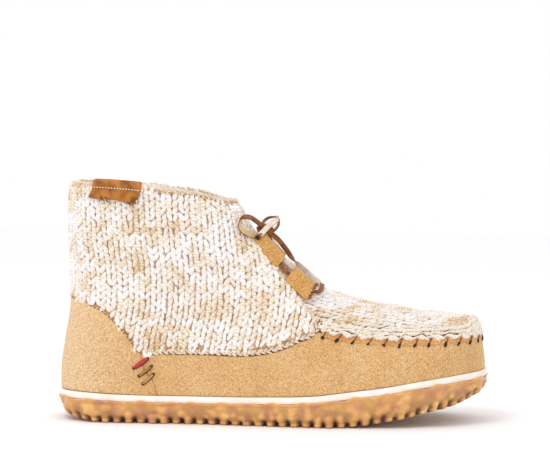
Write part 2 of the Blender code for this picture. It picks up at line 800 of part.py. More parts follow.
def lace_crossings():
    """The flat lace from the knot through both tabs of one side, across, and back up to the knot."""
    other_side = [dict(row, y=-MEDIAL_SHARE * row["y"]) for row in LACE_SIDE[-2::-1]]
    route = LACE_SIDE + other_side
    station, y, above = (column(route, name) for name in ("station", "y", "above"))
    corners = on_top(station, axis_y(station) + y, above)
    station, y, above = even_points(corners, (station, y, above), LACE_SECTION)
    points = on_top(station, axis_y(station) + y, above)
    up = normals(points)
    along = np.gradient(points, axis=0)
    side = np.cross(along, up)
    side = side / np.linalg.norm(side, axis=1, keepdims=True)
    loops = []
    for middle, across, above in zip(points, side * LACE_WIDTH / 2, up * LACE_THICK / 2):
        loops.append([middle - across + above, middle + across + above])
        loops[-1] += [middle + across - above, middle - across - above]
    return sweep("lace_crossings", np.array(loops))


def lace_knot():
    """The bow's knot, as a plain rounded solid."""
    shaped = bmesh.new()
    bmesh.ops.create_uvsphere(shaped, u_segments=10, v_segments=7, radius=1)
    centre = np.array([KNOT[name] for name in "xyz"])
    axes = np.array([KNOT[name] for name in ("along", "across", "above")])
    up = normals(centre[None, :])[0]
    ways = np.array([np.cross([0, 1, 0], up), [0, 1, 0], up])
    points = np.array([vert.co for vert in shaped.verts]) * axes @ ways + centre
    faces = [tuple(vert.index for vert in face.verts) for face in shaped.faces]
    shaped.free()
    return add_mesh("lace_knot", points, faces)


def build():
    remove_all()
    knit = material("knit", (0.85, 0.75, 0.65), 0.95)
    suede = material("suede", (0.72, 0.46, 0.24), 0.9)
    foam = material("foam", (0.9, 0.84, 0.75), 0.7)
    gum = material("gum", (0.62, 0.33, 0.14), 0.45)
    leather = material("leather", (0.25, 0.1, 0.04), 0.5)
    label = material("label_leather", (0.5, 0.24, 0.08), 0.5)
    finish(upper(), knit)
    finish(tongue(), knit)
    finish(overlay("side_wall", wall_outline(), SUEDE), suede)
    finish(overlay("heel_counter", counter_outline(), COUNTER), suede)
    finish(overlay("moc_seam", seam_outline(), SEAM), suede)
    finish(insole(), knit)
    finish(midsole(), foam)
    finish(outsole(), gum)
    for tab in TABS:
        for side in SIDES:
            finish(eyelet_tab(tab, side), suede)
    finish(collar_label(), label)
    finish(lace_crossings(), leather)
    finish(lace_knot(), leather)
    for name, route in FREE_LACE.items():
        free_cord(name, route).data.materials.append(leather)


build()
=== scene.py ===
# %% [markdown]
# # A knitted slipper bootie
#
# The bootie has a chunky knitted shaft and vamp, a suede wall round the foot, a puckered moccasin
# seam, a flat leather lace in four suede tabs, and a lugged gum rubber sole. One right shoe stands
# empty. Its solids are loaded first, and each visible piece is then built round them.
#
# Lengths are in millimetres in the tables and become metres where a mesh is made. +X points to the
# toe, +Z up, and -Y to the outer side of the foot.

import math

import bmesh
import bpy
import numpy as np
from mathutils import Matrix, Vector
from mathutils.kdtree import KDTree


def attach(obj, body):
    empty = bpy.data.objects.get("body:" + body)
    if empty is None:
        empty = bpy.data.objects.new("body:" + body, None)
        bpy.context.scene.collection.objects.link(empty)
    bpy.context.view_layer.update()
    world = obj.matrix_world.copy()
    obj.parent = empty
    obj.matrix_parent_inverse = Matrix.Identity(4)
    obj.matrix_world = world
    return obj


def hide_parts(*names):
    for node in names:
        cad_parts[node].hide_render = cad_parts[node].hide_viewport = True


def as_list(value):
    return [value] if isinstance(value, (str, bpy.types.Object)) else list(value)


MM = 0.001
MIDDLE = np.array([-1.0, 1.5, 0.0])  # the middle of the sole in the tables, which becomes X = Y = 0
SIDES = ((-1, "lateral"), (1, "medial"))
UPWARDS = np.array([0, 0, 1])

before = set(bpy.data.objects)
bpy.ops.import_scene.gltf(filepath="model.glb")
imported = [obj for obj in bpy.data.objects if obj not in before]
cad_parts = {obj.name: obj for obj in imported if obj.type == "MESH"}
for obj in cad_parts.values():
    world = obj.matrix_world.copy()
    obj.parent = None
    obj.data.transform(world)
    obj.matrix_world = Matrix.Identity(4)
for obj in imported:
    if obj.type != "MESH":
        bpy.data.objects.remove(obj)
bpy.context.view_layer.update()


# %% Small helpers that every part uses
def put(name, data):
    """A new object in the scene, at the origin."""
    obj = bpy.data.objects.new(name, data)
    bpy.context.scene.collection.objects.link(obj)
    return obj


def mesh_of(name, shaped):
    """A mesh from a bmesh, which is used up."""
    mesh = bpy.data.meshes.new(name)
    shaped.to_mesh(mesh)
    shaped.free()
    return mesh


def chart(names, rows):
    """A table with named columns, as a list of one dictionary a row."""
    return [dict(zip(names.split(), row)) for row in rows]


def column(rows, name):
    return np.array([row[name] for row in rows], float)


def unit(ways):
    """The same directions, each with a length of 1."""
    return ways / np.linalg.norm(ways, axis=-1, keepdims=True)


def walk(points):
    """The distance along a line of points to each of them."""
    return np.r_[0, np.cumsum(np.linalg.norm(np.diff(points, axis=0), axis=1))]


def along_line(stops, walked, line):
    """The points of a line at walked distances, or the one point at a single distance."""
    return np.stack([np.interp(stops, walked, line[:, k]) for k in range(3)], axis=-1)


def even(points, stops):
    """Points along a line at the given distances from its start."""
    return along_line(stops, walk(points), points)


print("helpers for objects, tables and lines are ready")

# %% [markdown]
# ## Camera, light and floor
#
# A long lens far away keeps the shoe's proportions, as a maker's catalogue does. The camera stands
# a little above the collar, square to the outer side and turned a little towards the heel. The light
# is a big soft one from all round, so that pale wool and suede keep their colours, with one lamp
# above and in front to draw the relief of the stitches.

# %% Camera
LENS = 136.87  # on a sensor of 36 mm
CAMERA_AT = (42.7, -1300.0, 166.0)
LOOKS_AT = (0.205, -1.5, 120.62)
CAMERA_ROLL = math.radians(0.462)

camera = put("camera", bpy.data.cameras.new("camera"))
camera.data.lens = LENS
camera.data.clip_start = 0.05
camera.data.clip_end = 50
camera.location = Vector(CAMERA_AT) * MM
facing = (Vector(LOOKS_AT) - Vector(CAMERA_AT)).to_track_quat("-Z", "Y")
camera.rotation_euler = (facing.to_matrix() @ Matrix.Rotation(CAMERA_ROLL, 3, "Z")).to_euler()
bpy.context.scene.camera = camera
print("camera", round((Vector(LOOKS_AT) - Vector(CAMERA_AT)).length), "mm away, lens", LENS)

# %% Light and floor
LAMP_AT, LAMP_LOOKS_AT = (-0.42, -0.7, 1.3), (0, 0, 0.06)  # in metres
LAMP_POWER, LAMP_SIZE = 5.0, 0.5
FLOOR_SIZE = 6.0

world = bpy.data.worlds.new("studio")
bpy.context.scene.world = world
world.use_nodes = True
world.node_tree.nodes["Background"].inputs["Color"].default_value = (1.0, 1.0, 1.0, 1)
world.node_tree.nodes["Background"].inputs["Strength"].default_value = 1.0

lamp = put("key_lamp", bpy.data.lights.new("key_lamp", "AREA"))
lamp.data.energy = LAMP_POWER
lamp.data.size = LAMP_SIZE
lamp.location = LAMP_AT
lamp.rotation_euler = (Vector(LAMP_LOOKS_AT) - Vector(LAMP_AT)).to_track_quat("-Z", "Y").to_euler()

shaped = bmesh.new()
bmesh.ops.create_grid(shaped, x_segments=1, y_segments=1, size=FLOOR_SIZE / 2)
floor = put("floor", mesh_of("floor", shaped))
floor_finish = bpy.data.materials.new("floor_white")
floor_finish.use_nodes = True
floor_shader = floor_finish.node_tree.nodes["Principled BSDF"]
floor_shader.inputs["Base Color"].default_value = (0.98, 0.975, 0.99, 1)
floor_shader.inputs["Roughness"].default_value = 0.9
floor.data.materials.append(floor_finish)
bpy.context.scene.view_settings.view_transform = "Standard"

# %% [markdown]
# ## The last
#
# A shoemaker pulls the upper over a last, a solid foot shape, and every layer of the shoe takes its
# form from it. Here the last is a field: a function that is negative inside and positive outside.
# Its tables say how wide the foot is at each station, how the back of the heel and the front line
# run, and how softly each rounds into the sides. A sheet of cloth can then be laid on it by walking
# out along a line until the field changes sign. The solids were made from the same tables.

# %% The tables of the last
HEEL_X, TOE_X = -130.2, 129.0
ROUNDNESS, CORNER = 2.35, 8.0
FOOT = chart("x axis lateral medial sole_top tread", [
    (-134, 0.0, 32.0, 32.0, 18.6, 7.5), (-125, 0.0, 32.0, 32.0, 18.6, 3.0),
    (-115, 0.0, 32.0, 32.0, 18.4, 1.0), (-95, 0.0, 32.0, 31.5, 17.6, 0.0),
    (-50, 0.0, 33.5, 30.5, 17.2, 0.0), (-10, -0.5, 39.0, 35.0, 17.8, 0.0),
    (30, 0.5, 45.5, 43.5, 19.8, 0.0), (42, 1.8, 46.4, 44.6, 21.4, 0.3),
    (66, 3.0, 46.2, 44.8, 24.5, 3.2), (90, 5.0, 44.5, 43.5, 28.4, 8.0),
    (110, 6.5, 43.0, 42.0, 31.0, 12.4), (133, 8.0, 41.5, 40.5, 33.2, 21.5),
])
BACK = chart("z x round half_width", [
    (10, -131.0, 36.0, 32.0), (30, -131.0, 38.0, 33.0), (50, -128.6, 41.0, 32.5),
    (73, -125.5, 44.0, 31.5), (92, -125.6, 46.0, 32.0), (112, -126.7, 48.0, 34.0),
    (132, -126.9, 49.0, 36.0), (160, -125.3, 49.0, 38.0),
])
RIDGE = chart("x z round", [
    (-39, 157.0, 43.0), (-28, 137.0, 45.0), (-17, 121.5, 51.0), (-6, 108.0, 60.0), (8, 95.0, 68.0),
    (27, 83.0, 66.0), (46, 76.3, 58.0), (62, 72.7, 53.0), (77, 70.2, 49.0), (95, 67.4, 44.0),
    (110, 66.6, 39.0), (124, 65.8, 35.0), (145, 62.5, 32.0),
])
TOE = chart("z x round", [
    (20, 129.0, 60.0), (36, 128.9, 60.0), (48, 127.6, 60.0), (58, 125.8, 60.0), (66, 124.0, 60.0),
    (76, 120.0, 60.0),
])
print("stations along the foot:", len(FOOT), "and along the front:", len(RIDGE))

# %% The lines of the pattern, seen from the side
COLLAR = chart("x z", [
    (-135, 147.0), (-113, 147.0), (-96, 146.5), (-77, 144.8), (-58, 142.2), (-47, 140.8), (-40, 138.4),
    (-33, 136.3), (-25, 135.6), (-10, 131.0),
])
COUNTER_TOP = chart("x z", [
    (-140.0, 76.0), (-125.0, 75.6), (-116.0, 73.9), (-106.0, 70.4), (-96.6, 63.1), (-88.5, 53.8),
    (-80.7, 42.4),
])
QUARTER_HEM = chart("x z", [
    (-80.7, 42.4), (-66.0, 43.0), (-44.0, 43.2), (-7.0, 43.7), (4.0, 46.2), (16.0, 51.6), (25.5, 56.4),
    (28.4, 60.6),
])
THROAT = chart("x z", [
    (28.4, 60.6), (26.8, 64.4), (23.0, 67.4), (16.0, 75.2), (5.7, 88.3), (-3.5, 100.5), (-12.0, 112.0),
    (-18.0, 121.0), (-22.0, 129.0), (-25.0, 137.0), (-30.0, 150.0),
])
MOC_SEAM = chart("x z", [
    (20.0, 58.6), (28.0, 57.2), (46.0, 54.2), (60.0, 52.9), (77.0, 52.2), (95.0, 52.4), (108.0, 53.0),
    (122.0, 53.9), (140.0, 55.0),
])
WALL_BACK = chart("z x", [
    (10.0, -68.0), (18.3, -70.7), (26.8, -73.8), (31.6, -77.5), (41.8, -80.7), (50.0, -84.0),
])
print("pattern lines: collar, counter, hem, throat, moccasin seam and the wall's back seam")


# %% Smooth curves through the tables
def hermite(at, x, y):
    """The smooth curve through points (x, y), at the places asked for, flat at each peak."""
    slope = np.gradient(y, x)
    chord = np.diff(y) / np.diff(x)
    slope[1:-1] *= chord[1:] * chord[:-1] > 0
    at = np.clip(at, x[0], x[-1])
    i = np.clip(np.searchsorted(x, at) - 1, 0, len(x) - 2)
    step = x[i + 1] - x[i]
    t = (at - x[i]) / step
    ends = (1 + 2 * t) * (1 - t) ** 2 * y[i] + t * t * (3 - 2 * t) * y[i + 1]
    return ends + t * (1 - t) * step * ((1 - t) * slope[i] - t * slope[i + 1])


def through(rows, across, up):
    """A smooth function through two named columns of a table."""
    x, y = column(rows, across), column(rows, up)
    return lambda at: hermite(at, x, y)


axis_y = through(FOOT, "x", "axis")
lateral_width = through(FOOT, "x", "lateral")
medial_width = through(FOOT, "x", "medial")
sole_top = through(FOOT, "x", "sole_top")
tread = through(FOOT, "x", "tread")
back_x = through(BACK, "z", "x")
back_round = through(BACK, "z", "round")
leg_width = through(BACK, "z", "half_width")
toe_x = through(TOE, "z", "x")
toe_round = through(TOE, "z", "round")
collar_z = through(COLLAR, "x", "z")
counter_z = through(COUNTER_TOP, "x", "z")
hem_z = through(COUNTER_TOP + QUARTER_HEM[1:], "x", "z")
throat_x = through(THROAT, "z", "x")
seam_z = through(MOC_SEAM, "x", "z")
wall_back_x = through(WALL_BACK, "z", "x")

ridge_x = np.linspace(RIDGE[0]["x"], RIDGE[-1]["x"], 240)
ridge_z = through(RIDGE, "x", "z")(ridge_x)
ridge_round = through(RIDGE, "x", "round")(ridge_x)
ridge_slope = np.gradient(ridge_z, ridge_x)
COLLAR_FRONT_X = ridge_x[np.argmin(np.abs(ridge_z - collar_z(ridge_x)))]
print("the collar meets the shin at x =", round(float(COLLAR_FRONT_X), 1))


# %% The last's field
def smoothstep(t):
    t = np.clip(t, 0, 1)
    return t * t * (3 - 2 * t)


def ridge_depth(x, z):
    """How far a side-view point lies inside the line of the front, as a share of its rounding."""
    nearest = np.argmin((x[:, None] - ridge_x) ** 2 + (z[:, None] - ridge_z) ** 2, axis=1)
    slope = ridge_slope[nearest]
    inward = (x - ridge_x[nearest]) * slope - (z - ridge_z[nearest])
    return inward / np.hypot(slope, 1) / ridge_round[nearest]


def last(points):
    """Negative inside the last, zero on its surface and positive outside."""
    x, y, z = points.T
    side = y - axis_y(x)
    foot = np.where(side < 0, lateral_width(x), medial_width(x))
    leg = smoothstep((z - 30) / 65) * smoothstep((35 - x) / 70)
    half_width = foot * (1 - leg) + leg_width(z) * leg
    top = np.maximum(1 - ridge_depth(x, z), 0)
    toe = np.maximum(1 - (toe_x(z) - x) / toe_round(z), 0)
    heel = np.maximum(1 - (x - back_x(z)) / back_round(z), 0)
    front = (top**CORNER + toe**CORNER) ** (ROUNDNESS / CORNER)
    return np.abs(side / half_width) ** ROUNDNESS + front + heel**ROUNDNESS - 1


def normals(points):
    """Unit vectors that point out of the last."""
    step = 0.05
    ways = [last(points + step * way) - last(points - step * way) for way in np.eye(3)]
    return unit(np.stack(ways, axis=1))


def surface_between(inside, outside):
    """The point of the last's surface on each line from a point inside it to one outside it."""
    near, far = np.zeros(len(inside)), np.ones(len(inside))
    for _ in range(22):
        middle = (near + far) / 2
        is_in = last(inside + middle[:, None] * (outside - inside)) < 0
        near, far = np.where(is_in, middle, near), np.where(is_in, far, middle)
    return inside + near[:, None] * (outside - inside)


print("the field at the middle of the heel is", round(float(last(np.array([[-100.0, 0, 40]]))[0]), 2))


# %% Ways to lay a point on the last
def loop_round(height, centre_x=0.0, fine=480):
    """Points round the last where z = height(x), from the back of the heel along the lateral side to
    the front, and back along the medial side."""
    turn = np.linspace(math.pi, 3 * math.pi, fine + 1)
    way = np.stack([np.cos(turn), np.sin(turn)], axis=1)
    near, far = np.zeros(len(turn)), np.full(len(turn), 190.0)
    for _ in range(20):
        reach = (near + far) / 2
        x, y = centre_x + reach * way[:, 0], reach * way[:, 1]
        is_in = last(np.stack([x, y, height(x)], axis=1)) < 0
        near, far = np.where(is_in, reach, near), np.where(is_in, far, reach)
    return np.stack([x, y, height(x)], axis=1)


def stretch(points, inside, columns):
    """Evenly spaced points along the stretch of a line where inside(points) is positive."""
    walked, value = walk(points), inside(points)
    found = np.flatnonzero(value > 0)
    ends = []
    for at, beyond in ((found[0], found[0] - 1), (found[-1], found[-1] + 1)):
        if 0 <= beyond < len(points):
            share = value[at] / (value[at] - value[beyond])
            ends.append(walked[at] + share * (walked[beyond] - walked[at]))
        else:
            ends.append(walked[at])
    return even(points, np.linspace(*ends, columns + 1))


def on_top(station_x, y, distance=0.0):
    """Points over the ridge: beside its point at station_x, y across, and distance above the last."""
    station_x, y, distance = np.broadcast_arrays(np.atleast_1d(station_x).astype(float), y, distance)
    z = np.interp(station_x, ridge_x, ridge_z)
    slope = np.interp(station_x, ridge_x, ridge_slope)
    way = unit(np.stack([-slope, 0 * slope, np.ones(len(slope))], axis=1))
    ridge = np.stack([station_x, y, z], axis=1)
    points = surface_between(ridge - 45 * way, ridge + 8 * way)
    return points + distance[:, None] * normals(points)


def on_side(x, z, distance, side):
    """Points on the lateral (-1) or medial (1) side of the last, over a side-view point."""
    x, z, distance = np.broadcast_arrays(np.atleast_1d(x).astype(float), z, distance)
    middle = np.stack([x, axis_y(x), z], axis=1)
    points = surface_between(middle, middle + np.array([0, side * 80.0, 0]))
    return points + distance[:, None] * normals(points)


BALL_Z = 30.0
ball = loop_round(lambda x: 0 * x + BALL_Z)
print("the ball of the foot is", round(float(np.ptp(ball[:, 1])), 1), "mm wide")

# %% [markdown]
# ## Making pieces
#
# Most pieces start flat: a grid of faces, like cloth on a table. A table of points, as many across
# and up as the grid has, then says where each of its corners lies. Laying the grid down that way
# keeps even quads, which take a thickness and a subdivision well. A Solidify modifier then gives the
# sheet its thickness and its edges. Small things, such as stitches, are copies of one grain instead.

# %% From a bmesh to a piece that rides on the shoe
def piece(name, shaped, finishes, slot, nodes, smooth=True):
    """Makes an object from a bmesh in millimetres, which stands for the named solids."""
    bmesh.ops.transform(shaped, matrix=Matrix.Scale(MM, 4), verts=shaped.verts)
    bmesh.ops.translate(shaped, vec=-Vector(MIDDLE) * MM, verts=shaped.verts)
    mesh = mesh_of(name, shaped)
    for finish in finishes:
        mesh.materials.append(finish)
    if smooth:
        mesh.shade_smooth()
    obj = put(name, mesh)
    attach(obj, "root")
    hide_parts(*nodes)
    return obj


def thicken(obj, thickness, offset=-1.0, rim=None, inner=None):
    """A Solidify modifier: an offset of -1 grows inwards, and rim and inner are steps in the finishes."""
    solid = obj.modifiers.new("thickness", "SOLIDIFY")
    solid.thickness = thickness * MM
    solid.offset = offset
    solid.use_even_offset = False
    if inner is not None:
        solid.material_offset = inner
    if rim is not None:
        solid.material_offset_rim = rim
    return obj


def round_off(obj):
    """A Subdivision Surface modifier of one level, the same in the viewport and in a render."""
    rounding = obj.modifiers.new("rounding", "SUBSURF")
    rounding.levels = rounding.render_levels = 1
    return obj


def settle(obj):
    """Applies the modifiers, so that the mesh holds the finished shape."""
    bpy.context.view_layer.update()
    graph = bpy.context.evaluated_depsgraph_get()
    mesh = bpy.data.meshes.new_from_object(obj.evaluated_get(graph))
    obj.modifiers.clear()
    obj.data = mesh
    return obj


def told(obj):
    """Prints a piece's size, and passes it on."""
    bpy.context.view_layer.update()
    graph = bpy.context.evaluated_depsgraph_get()
    mesh = obj.evaluated_get(graph).to_mesh()
    mesh.calc_loop_triangles()
    sides = [round(side / MM, 1) for side in obj.evaluated_get(graph).dimensions]
    print(f"{obj.name}: {len(mesh.loop_triangles)} triangles, {sides} mm")
    obj.evaluated_get(graph).to_mesh_clear()
    return obj


# %% Laying a grid of faces on a table of points
def sheet_of(points, closed=False, hollows=None):
    """A bmesh grid laid on a table of points, rows x columns x 3. A closed one joins its last column
    to its first. Its UV map runs in metres, along the columns and up the rows. The last argument, a
    value for each point, is painted shade, and goes into a colour attribute that the gum's finish reads."""
    points = np.asarray(points, float)
    rows, columns = points.shape[0] - 1, points.shape[1] - 1
    shaped = bmesh.new()
    flat = shaped.loops.layers.uv.new("cloth")
    if hollows is not None:
        hollow = shaped.verts.layers.float_color.new("hollow")
    bmesh.ops.create_grid(shaped, x_segments=columns, y_segments=rows, size=0.5, calc_uvs=True)
    across, up = walk(points[rows // 2])[-1], walk(points[:, columns // 2])[-1]
    shaped.verts.ensure_lookup_table()
    for vert in shaped.verts:
        i, j = round((vert.co.x + 0.5) * columns), round((vert.co.y + 0.5) * rows)
        vert.co = points[j, i]
        if hollows is not None:
            vert[hollow] = np.full(4, hollows[j, i])
    for face in shaped.faces:
        for loop in face.loops:
            u, v = loop[flat].uv
            loop[flat].uv = (u * across * MM, v * up * MM)
    if closed:
        bmesh.ops.remove_doubles(shaped, verts=shaped.verts, dist=1e-4)
    return shaped


def facing_out(shaped, middle=(0, 0, 40)):
    """Turns a sheet round where most of its faces look towards a point in the middle."""
    shaped.normal_update()
    outward = sum((face.calc_center_median() - Vector(middle)).dot(face.normal) for face in shaped.faces)
    if outward < 0:
        bmesh.ops.reverse_faces(shaped, faces=shaped.faces)
    return shaped


def lay(shaped, points):
    """Moves the points of a bmesh to new places."""
    for vert, point in zip(shaped.verts, points):
        vert.co = point
    return shaped


def edge_of(shaped):
    """The open edges of a sheet."""
    return [edge for edge in shaped.edges if edge.is_boundary]


def offset(points, distance):
    """A table of points, moved out along the last's normals. The distance may vary over the table."""
    flat = points.reshape(-1, 3)
    out = np.ravel(np.broadcast_to(distance, points.shape[:-1]))
    return (flat + out[:, None] * normals(flat)).reshape(points.shape)


def strip(low, high, rows, columns, inside, from_toe):
    """A table of points on the last between two heights given over x, kept where inside(points) is
    positive. Its rows go up, and its columns go round the heel, or round the toe."""
    table = []
    for share in np.linspace(0, 1, rows + 1):
        around = loop_round(lambda x, s=share: low(x) + s * (high(x) - low(x)))[:-1]
        if from_toe:
            around = np.roll(around, len(around) // 2, axis=0)
        table.append(stretch(around, inside, columns))
    return np.array(table)


print("ready to lay sheets on the last")


# %% Many small pieces in one mesh
def grain_of_yarn(segments=8, rings=6, blunt=1.0):
    """A round grain of unit size, which is stretched into a stitch, a strand or a lump. A blunt one,
    under 1, is nearer to a rod."""
    shaped = bmesh.new()
    shaped.loops.layers.uv.new("cloth")
    bmesh.ops.create_uvsphere(shaped, u_segments=segments, v_segments=rings, radius=0.5, calc_uvs=True)
    for vert in shaped.verts:
        away = 2 * math.hypot(vert.co.x, vert.co.y)
        if away > 1e-3:
            fuller = away ** (blunt - 1)
            vert.co = (vert.co.x * fuller, vert.co.y * fuller, vert.co.z)
    return mesh_of("grain", shaped)


def aimed(at, along, up, size):
    """The place of a grain: its length points along, and its thickness up. size is (long, wide, thick)."""
    along = unit(np.asarray(along, float))
    side = unit(np.cross(up, along))
    long, wide, thick = size
    turned = Matrix([side * wide, np.cross(along, side) * thick, along * long]).transposed()
    return Matrix.Translation(Vector(at)) @ turned.to_4x4()


def copies(mesh, places, colours=None):
    """A bmesh with one copy of a mesh at each place, and its colours in the yarn attribute."""
    shaped = bmesh.new()
    for place in places:
        copy = mesh.copy()
        copy.transform(place)
        shaped.from_mesh(copy)
        bpy.data.meshes.remove(copy)
    if colours is not None:
        yarn = shaped.verts.layers.float_color.new("yarn")
        shaped.verts.ensure_lookup_table()
        for vert in shaped.verts:
            vert[yarn] = colours[vert.index // len(mesh.vertices)]
    return shaped


YARN_GRAIN, THREAD_GRAIN = grain_of_yarn(), grain_of_yarn(6, 5)
print("a grain of yarn has", len(YARN_GRAIN.polygons), "faces, one of thread", len(THREAD_GRAIN.polygons))

# %% [markdown]
# ## Finishes
#
# Every finish is worked out by nodes from a point's place on the shoe. What several of them share,
# such as the uneven dye of a hide or the short nap of suede, is a node group: a small machine with
# named inputs, placed in each material with its own values. A group gives masks and heights only,
# and the surface itself, the Principled BSDF, stays in the material.

# %% Small helpers for node trees
def add(tree, kind, inputs=None, **settings):
    """A node with its settings, and with values on its inputs by name or number."""
    made = tree.nodes.new(kind)
    for name, value in settings.items():
        setattr(made, name, value)
    for name, value in (inputs or {}).items():
        made.inputs[name].default_value = value
    return made


def ramp(tree, source, stops):
    """A colour ramp through (place, colour) stops, fed by a socket."""
    made = add(tree, "ShaderNodeValToRGB")
    steps = made.color_ramp.elements
    steps[0].position, steps[1].position = stops[0][0], stops[-1][0]
    for place, _ in stops[1:-1]:
        steps.new(place)
    for step, (_, colour) in zip(steps, stops):
        step.color = (*colour, 1)
    tree.links.new(source, made.inputs["Fac"])
    return made.outputs["Color"]


def blend_colours(tree, share, one, other, way="MIX"):
    """Mixes two colours, each a socket or a plain colour, by a share that is a socket or a number."""
    made = add(tree, "ShaderNodeMix", data_type="RGBA", blend_type=way)
    for place, value in (("Factor", share), ("A", one), ("B", other)):
        slot = [s for s in made.inputs if s.name == place and s.enabled][0]
        if isinstance(value, bpy.types.NodeSocket):
            tree.links.new(value, slot)
        else:
            slot.default_value = (*value, 1) if place != "Factor" else value
    return [s for s in made.outputs if s.enabled][0]


def reckon(tree, operation, one, other=0.0, clamp=False):
    """A Math node between two sockets or numbers."""
    made = add(tree, "ShaderNodeMath", operation=operation, use_clamp=clamp)
    for slot, value in zip(made.inputs, (one, other)):
        if isinstance(value, bpy.types.NodeSocket):
            tree.links.new(value, slot)
        else:
            slot.default_value = value
    return made.outputs[0]


def finish(name, roughness=0.8, **surface):
    """A new material, its tree and its Principled BSDF, with plain values set on the shader itself."""
    made = bpy.data.materials.new(name)
    made.use_nodes = True
    tree = made.node_tree
    shader = tree.nodes["Principled BSDF"]
    shader.inputs["Roughness"].default_value = roughness
    for socket, value in surface.items():
        shader.inputs[socket.replace("_", " ")].default_value = value
    return made, tree, shader


def paint(tree, shader, colour):
    tree.links.new(colour, shader.inputs["Base Color"])


def raise_by(tree, shader, height, distance, strength):
    """A Bump node that lifts the surface by a height from 0 to 1, times a distance in millimetres."""
    bump = add(tree, "ShaderNodeBump", {"Strength": strength, "Distance": distance * MM})
    tree.links.new(height, bump.inputs["Height"])
    tree.links.new(bump.outputs["Normal"], shader.inputs["Normal"])


def group(name, inputs, outputs):
    """An empty shader node group with float inputs (name, value) and named outputs."""
    made = bpy.data.node_groups.new(name, "ShaderNodeTree")
    made.interface.new_socket("Place", in_out="INPUT", socket_type="NodeSocketVector")
    for label, value in inputs:
        made.interface.new_socket(label, in_out="INPUT", socket_type="NodeSocketFloat").default_value = value
    for label in outputs:
        made.interface.new_socket(label, in_out="OUTPUT", socket_type="NodeSocketFloat")
    return made, made.nodes.new("NodeGroupInput"), made.nodes.new("NodeGroupOutput")


def place_group(tree, made, place, **values):
    """A node group placed in a tree, with its own values."""
    node = add(tree, "ShaderNodeGroup", node_tree=made)
    tree.links.new(place, node.inputs["Place"])
    for label, value in values.items():
        node.inputs[label.capitalize()].default_value = value
    return node


def object_place(tree):
    return add(tree, "ShaderNodeTexCoord").outputs["Object"]


print("helpers for node trees are ready")

# %% A group for cloudy dye, and one for a short nap or grain
MOTTLE, entry, leave = group("cloudy_dye", [("Size", 0.02), ("Detail", 3.0)], ["Cloud"])
size = reckon(MOTTLE, "DIVIDE", 1.0, entry.outputs["Size"])
cloud = add(MOTTLE, "ShaderNodeTexNoise", {"Roughness": 0.55})
MOTTLE.links.new(entry.outputs["Place"], cloud.inputs["Vector"])
MOTTLE.links.new(size, cloud.inputs["Scale"])
MOTTLE.links.new(entry.outputs["Detail"], cloud.inputs["Detail"])
MOTTLE.links.new(cloud.outputs["Fac"], leave.inputs["Cloud"])

NAP, entry, leave = group("short_nap", [("Size", 0.0008), ("Long", 0.3)], ["Height", "Shade"])
fine = add(NAP, "ShaderNodeTexNoise", {"Detail": 4.0, "Roughness": 0.7, "Distortion": 0.6})
coarse = add(NAP, "ShaderNodeTexNoise", {"Detail": 2.0, "Roughness": 0.5})
size = reckon(NAP, "DIVIDE", 1.0, entry.outputs["Size"])
for noise, scale in ((fine, size), (coarse, reckon(NAP, "MULTIPLY", size, entry.outputs["Long"]))):
    NAP.links.new(entry.outputs["Place"], noise.inputs["Vector"])
    NAP.links.new(scale, noise.inputs["Scale"])
both = reckon(NAP, "ADD", fine.outputs["Fac"], reckon(NAP, "MULTIPLY", coarse.outputs["Fac"], 0.6))
NAP.links.new(reckon(NAP, "DIVIDE", both, 1.6), leave.inputs["Height"])
NAP.links.new(fine.outputs["Fac"], leave.inputs["Shade"])
print("groups:", MOTTLE.name, "and", NAP.name)


# %% [markdown]
# ## Suede
#
# Suede is the brushed flesh side of a hide: a very short nap, no gloss, and patches that look
# lighter or darker where the nap lies this way or that. A noise of about half a millimetre gives
# the nap, a larger one the patches, and a little sheen the soft rim that light leaves on fibres.

# %% Suede in three tans
HEEL_BEGINS, HEEL_FADE = -0.077, -22.0  # the heel's own tan: where it begins in X, and its growth a metre


def suede_finish(name, dark, middle, pale, rubbed=None):
    """Suede in a middle and a pale tan, with a dark tint deep in its nap. A rubbed colour, where one
    is given, takes over towards the heel."""
    soft = dict(Sheen_Weight=0.25, Sheen_Roughness=0.5, Sheen_Tint=(1.0, 0.88, 0.72, 1))
    made, tree, shader = finish(name, 0.92, Specular_IOR_Level=0.15, **soft)
    place = object_place(tree)
    nap = place_group(tree, NAP, place, size=0.0008)
    patches = place_group(tree, MOTTLE, place, size=0.03, detail=3.0)
    colour = ramp(tree, patches.outputs["Cloud"], [(0.3, middle), (0.62, pale)])
    if rubbed:
        along = add(tree, "ShaderNodeSeparateXYZ")
        tree.links.new(place, along.inputs[0])
        past = reckon(tree, "SUBTRACT", along.outputs["X"], HEEL_BEGINS)
        heel = reckon(tree, "MULTIPLY", past, HEEL_FADE, clamp=True)
        colour = blend_colours(tree, heel, colour, rubbed)
    speckle = ramp(tree, nap.outputs["Shade"], [(0.36, dark), (0.6, (1.06, 1.06, 1.06))])
    paint(tree, shader, blend_colours(tree, 1.0, colour, speckle, "MULTIPLY"))
    raise_by(tree, shader, nap.outputs["Height"], 0.35, 0.8)
    return made


HEEL_TAN = (0.87, 0.63, 0.38)
SUEDE = suede_finish(
    "suede", (0.54, 0.44, 0.33), (0.735, 0.445, 0.19), (0.81, 0.53, 0.26), rubbed=HEEL_TAN
)
TAB_SUEDE = suede_finish("tab_suede", (0.45, 0.3, 0.14), (0.66, 0.35, 0.1), (0.76, 0.45, 0.17))
# A darker, more orange suede for the cut edges and the gathered band over the wall: partly their own colour,
# partly painted shade, as the band lies under the knit's lobes.
SHADED_EDGE_SUEDE = suede_finish("edge_suede", (0.5, 0.4, 0.3), (0.68, 0.31, 0.1), (0.8, 0.46, 0.19))
print("suedes:", SUEDE.name, TAB_SUEDE.name, SHADED_EDGE_SUEDE.name)


# %% Wool, fleece, foam, gum rubber and leather
TWISTS = 2.6  # of the plies along a strand
RUST_PLY = (0.68, 0.41, 0.2)


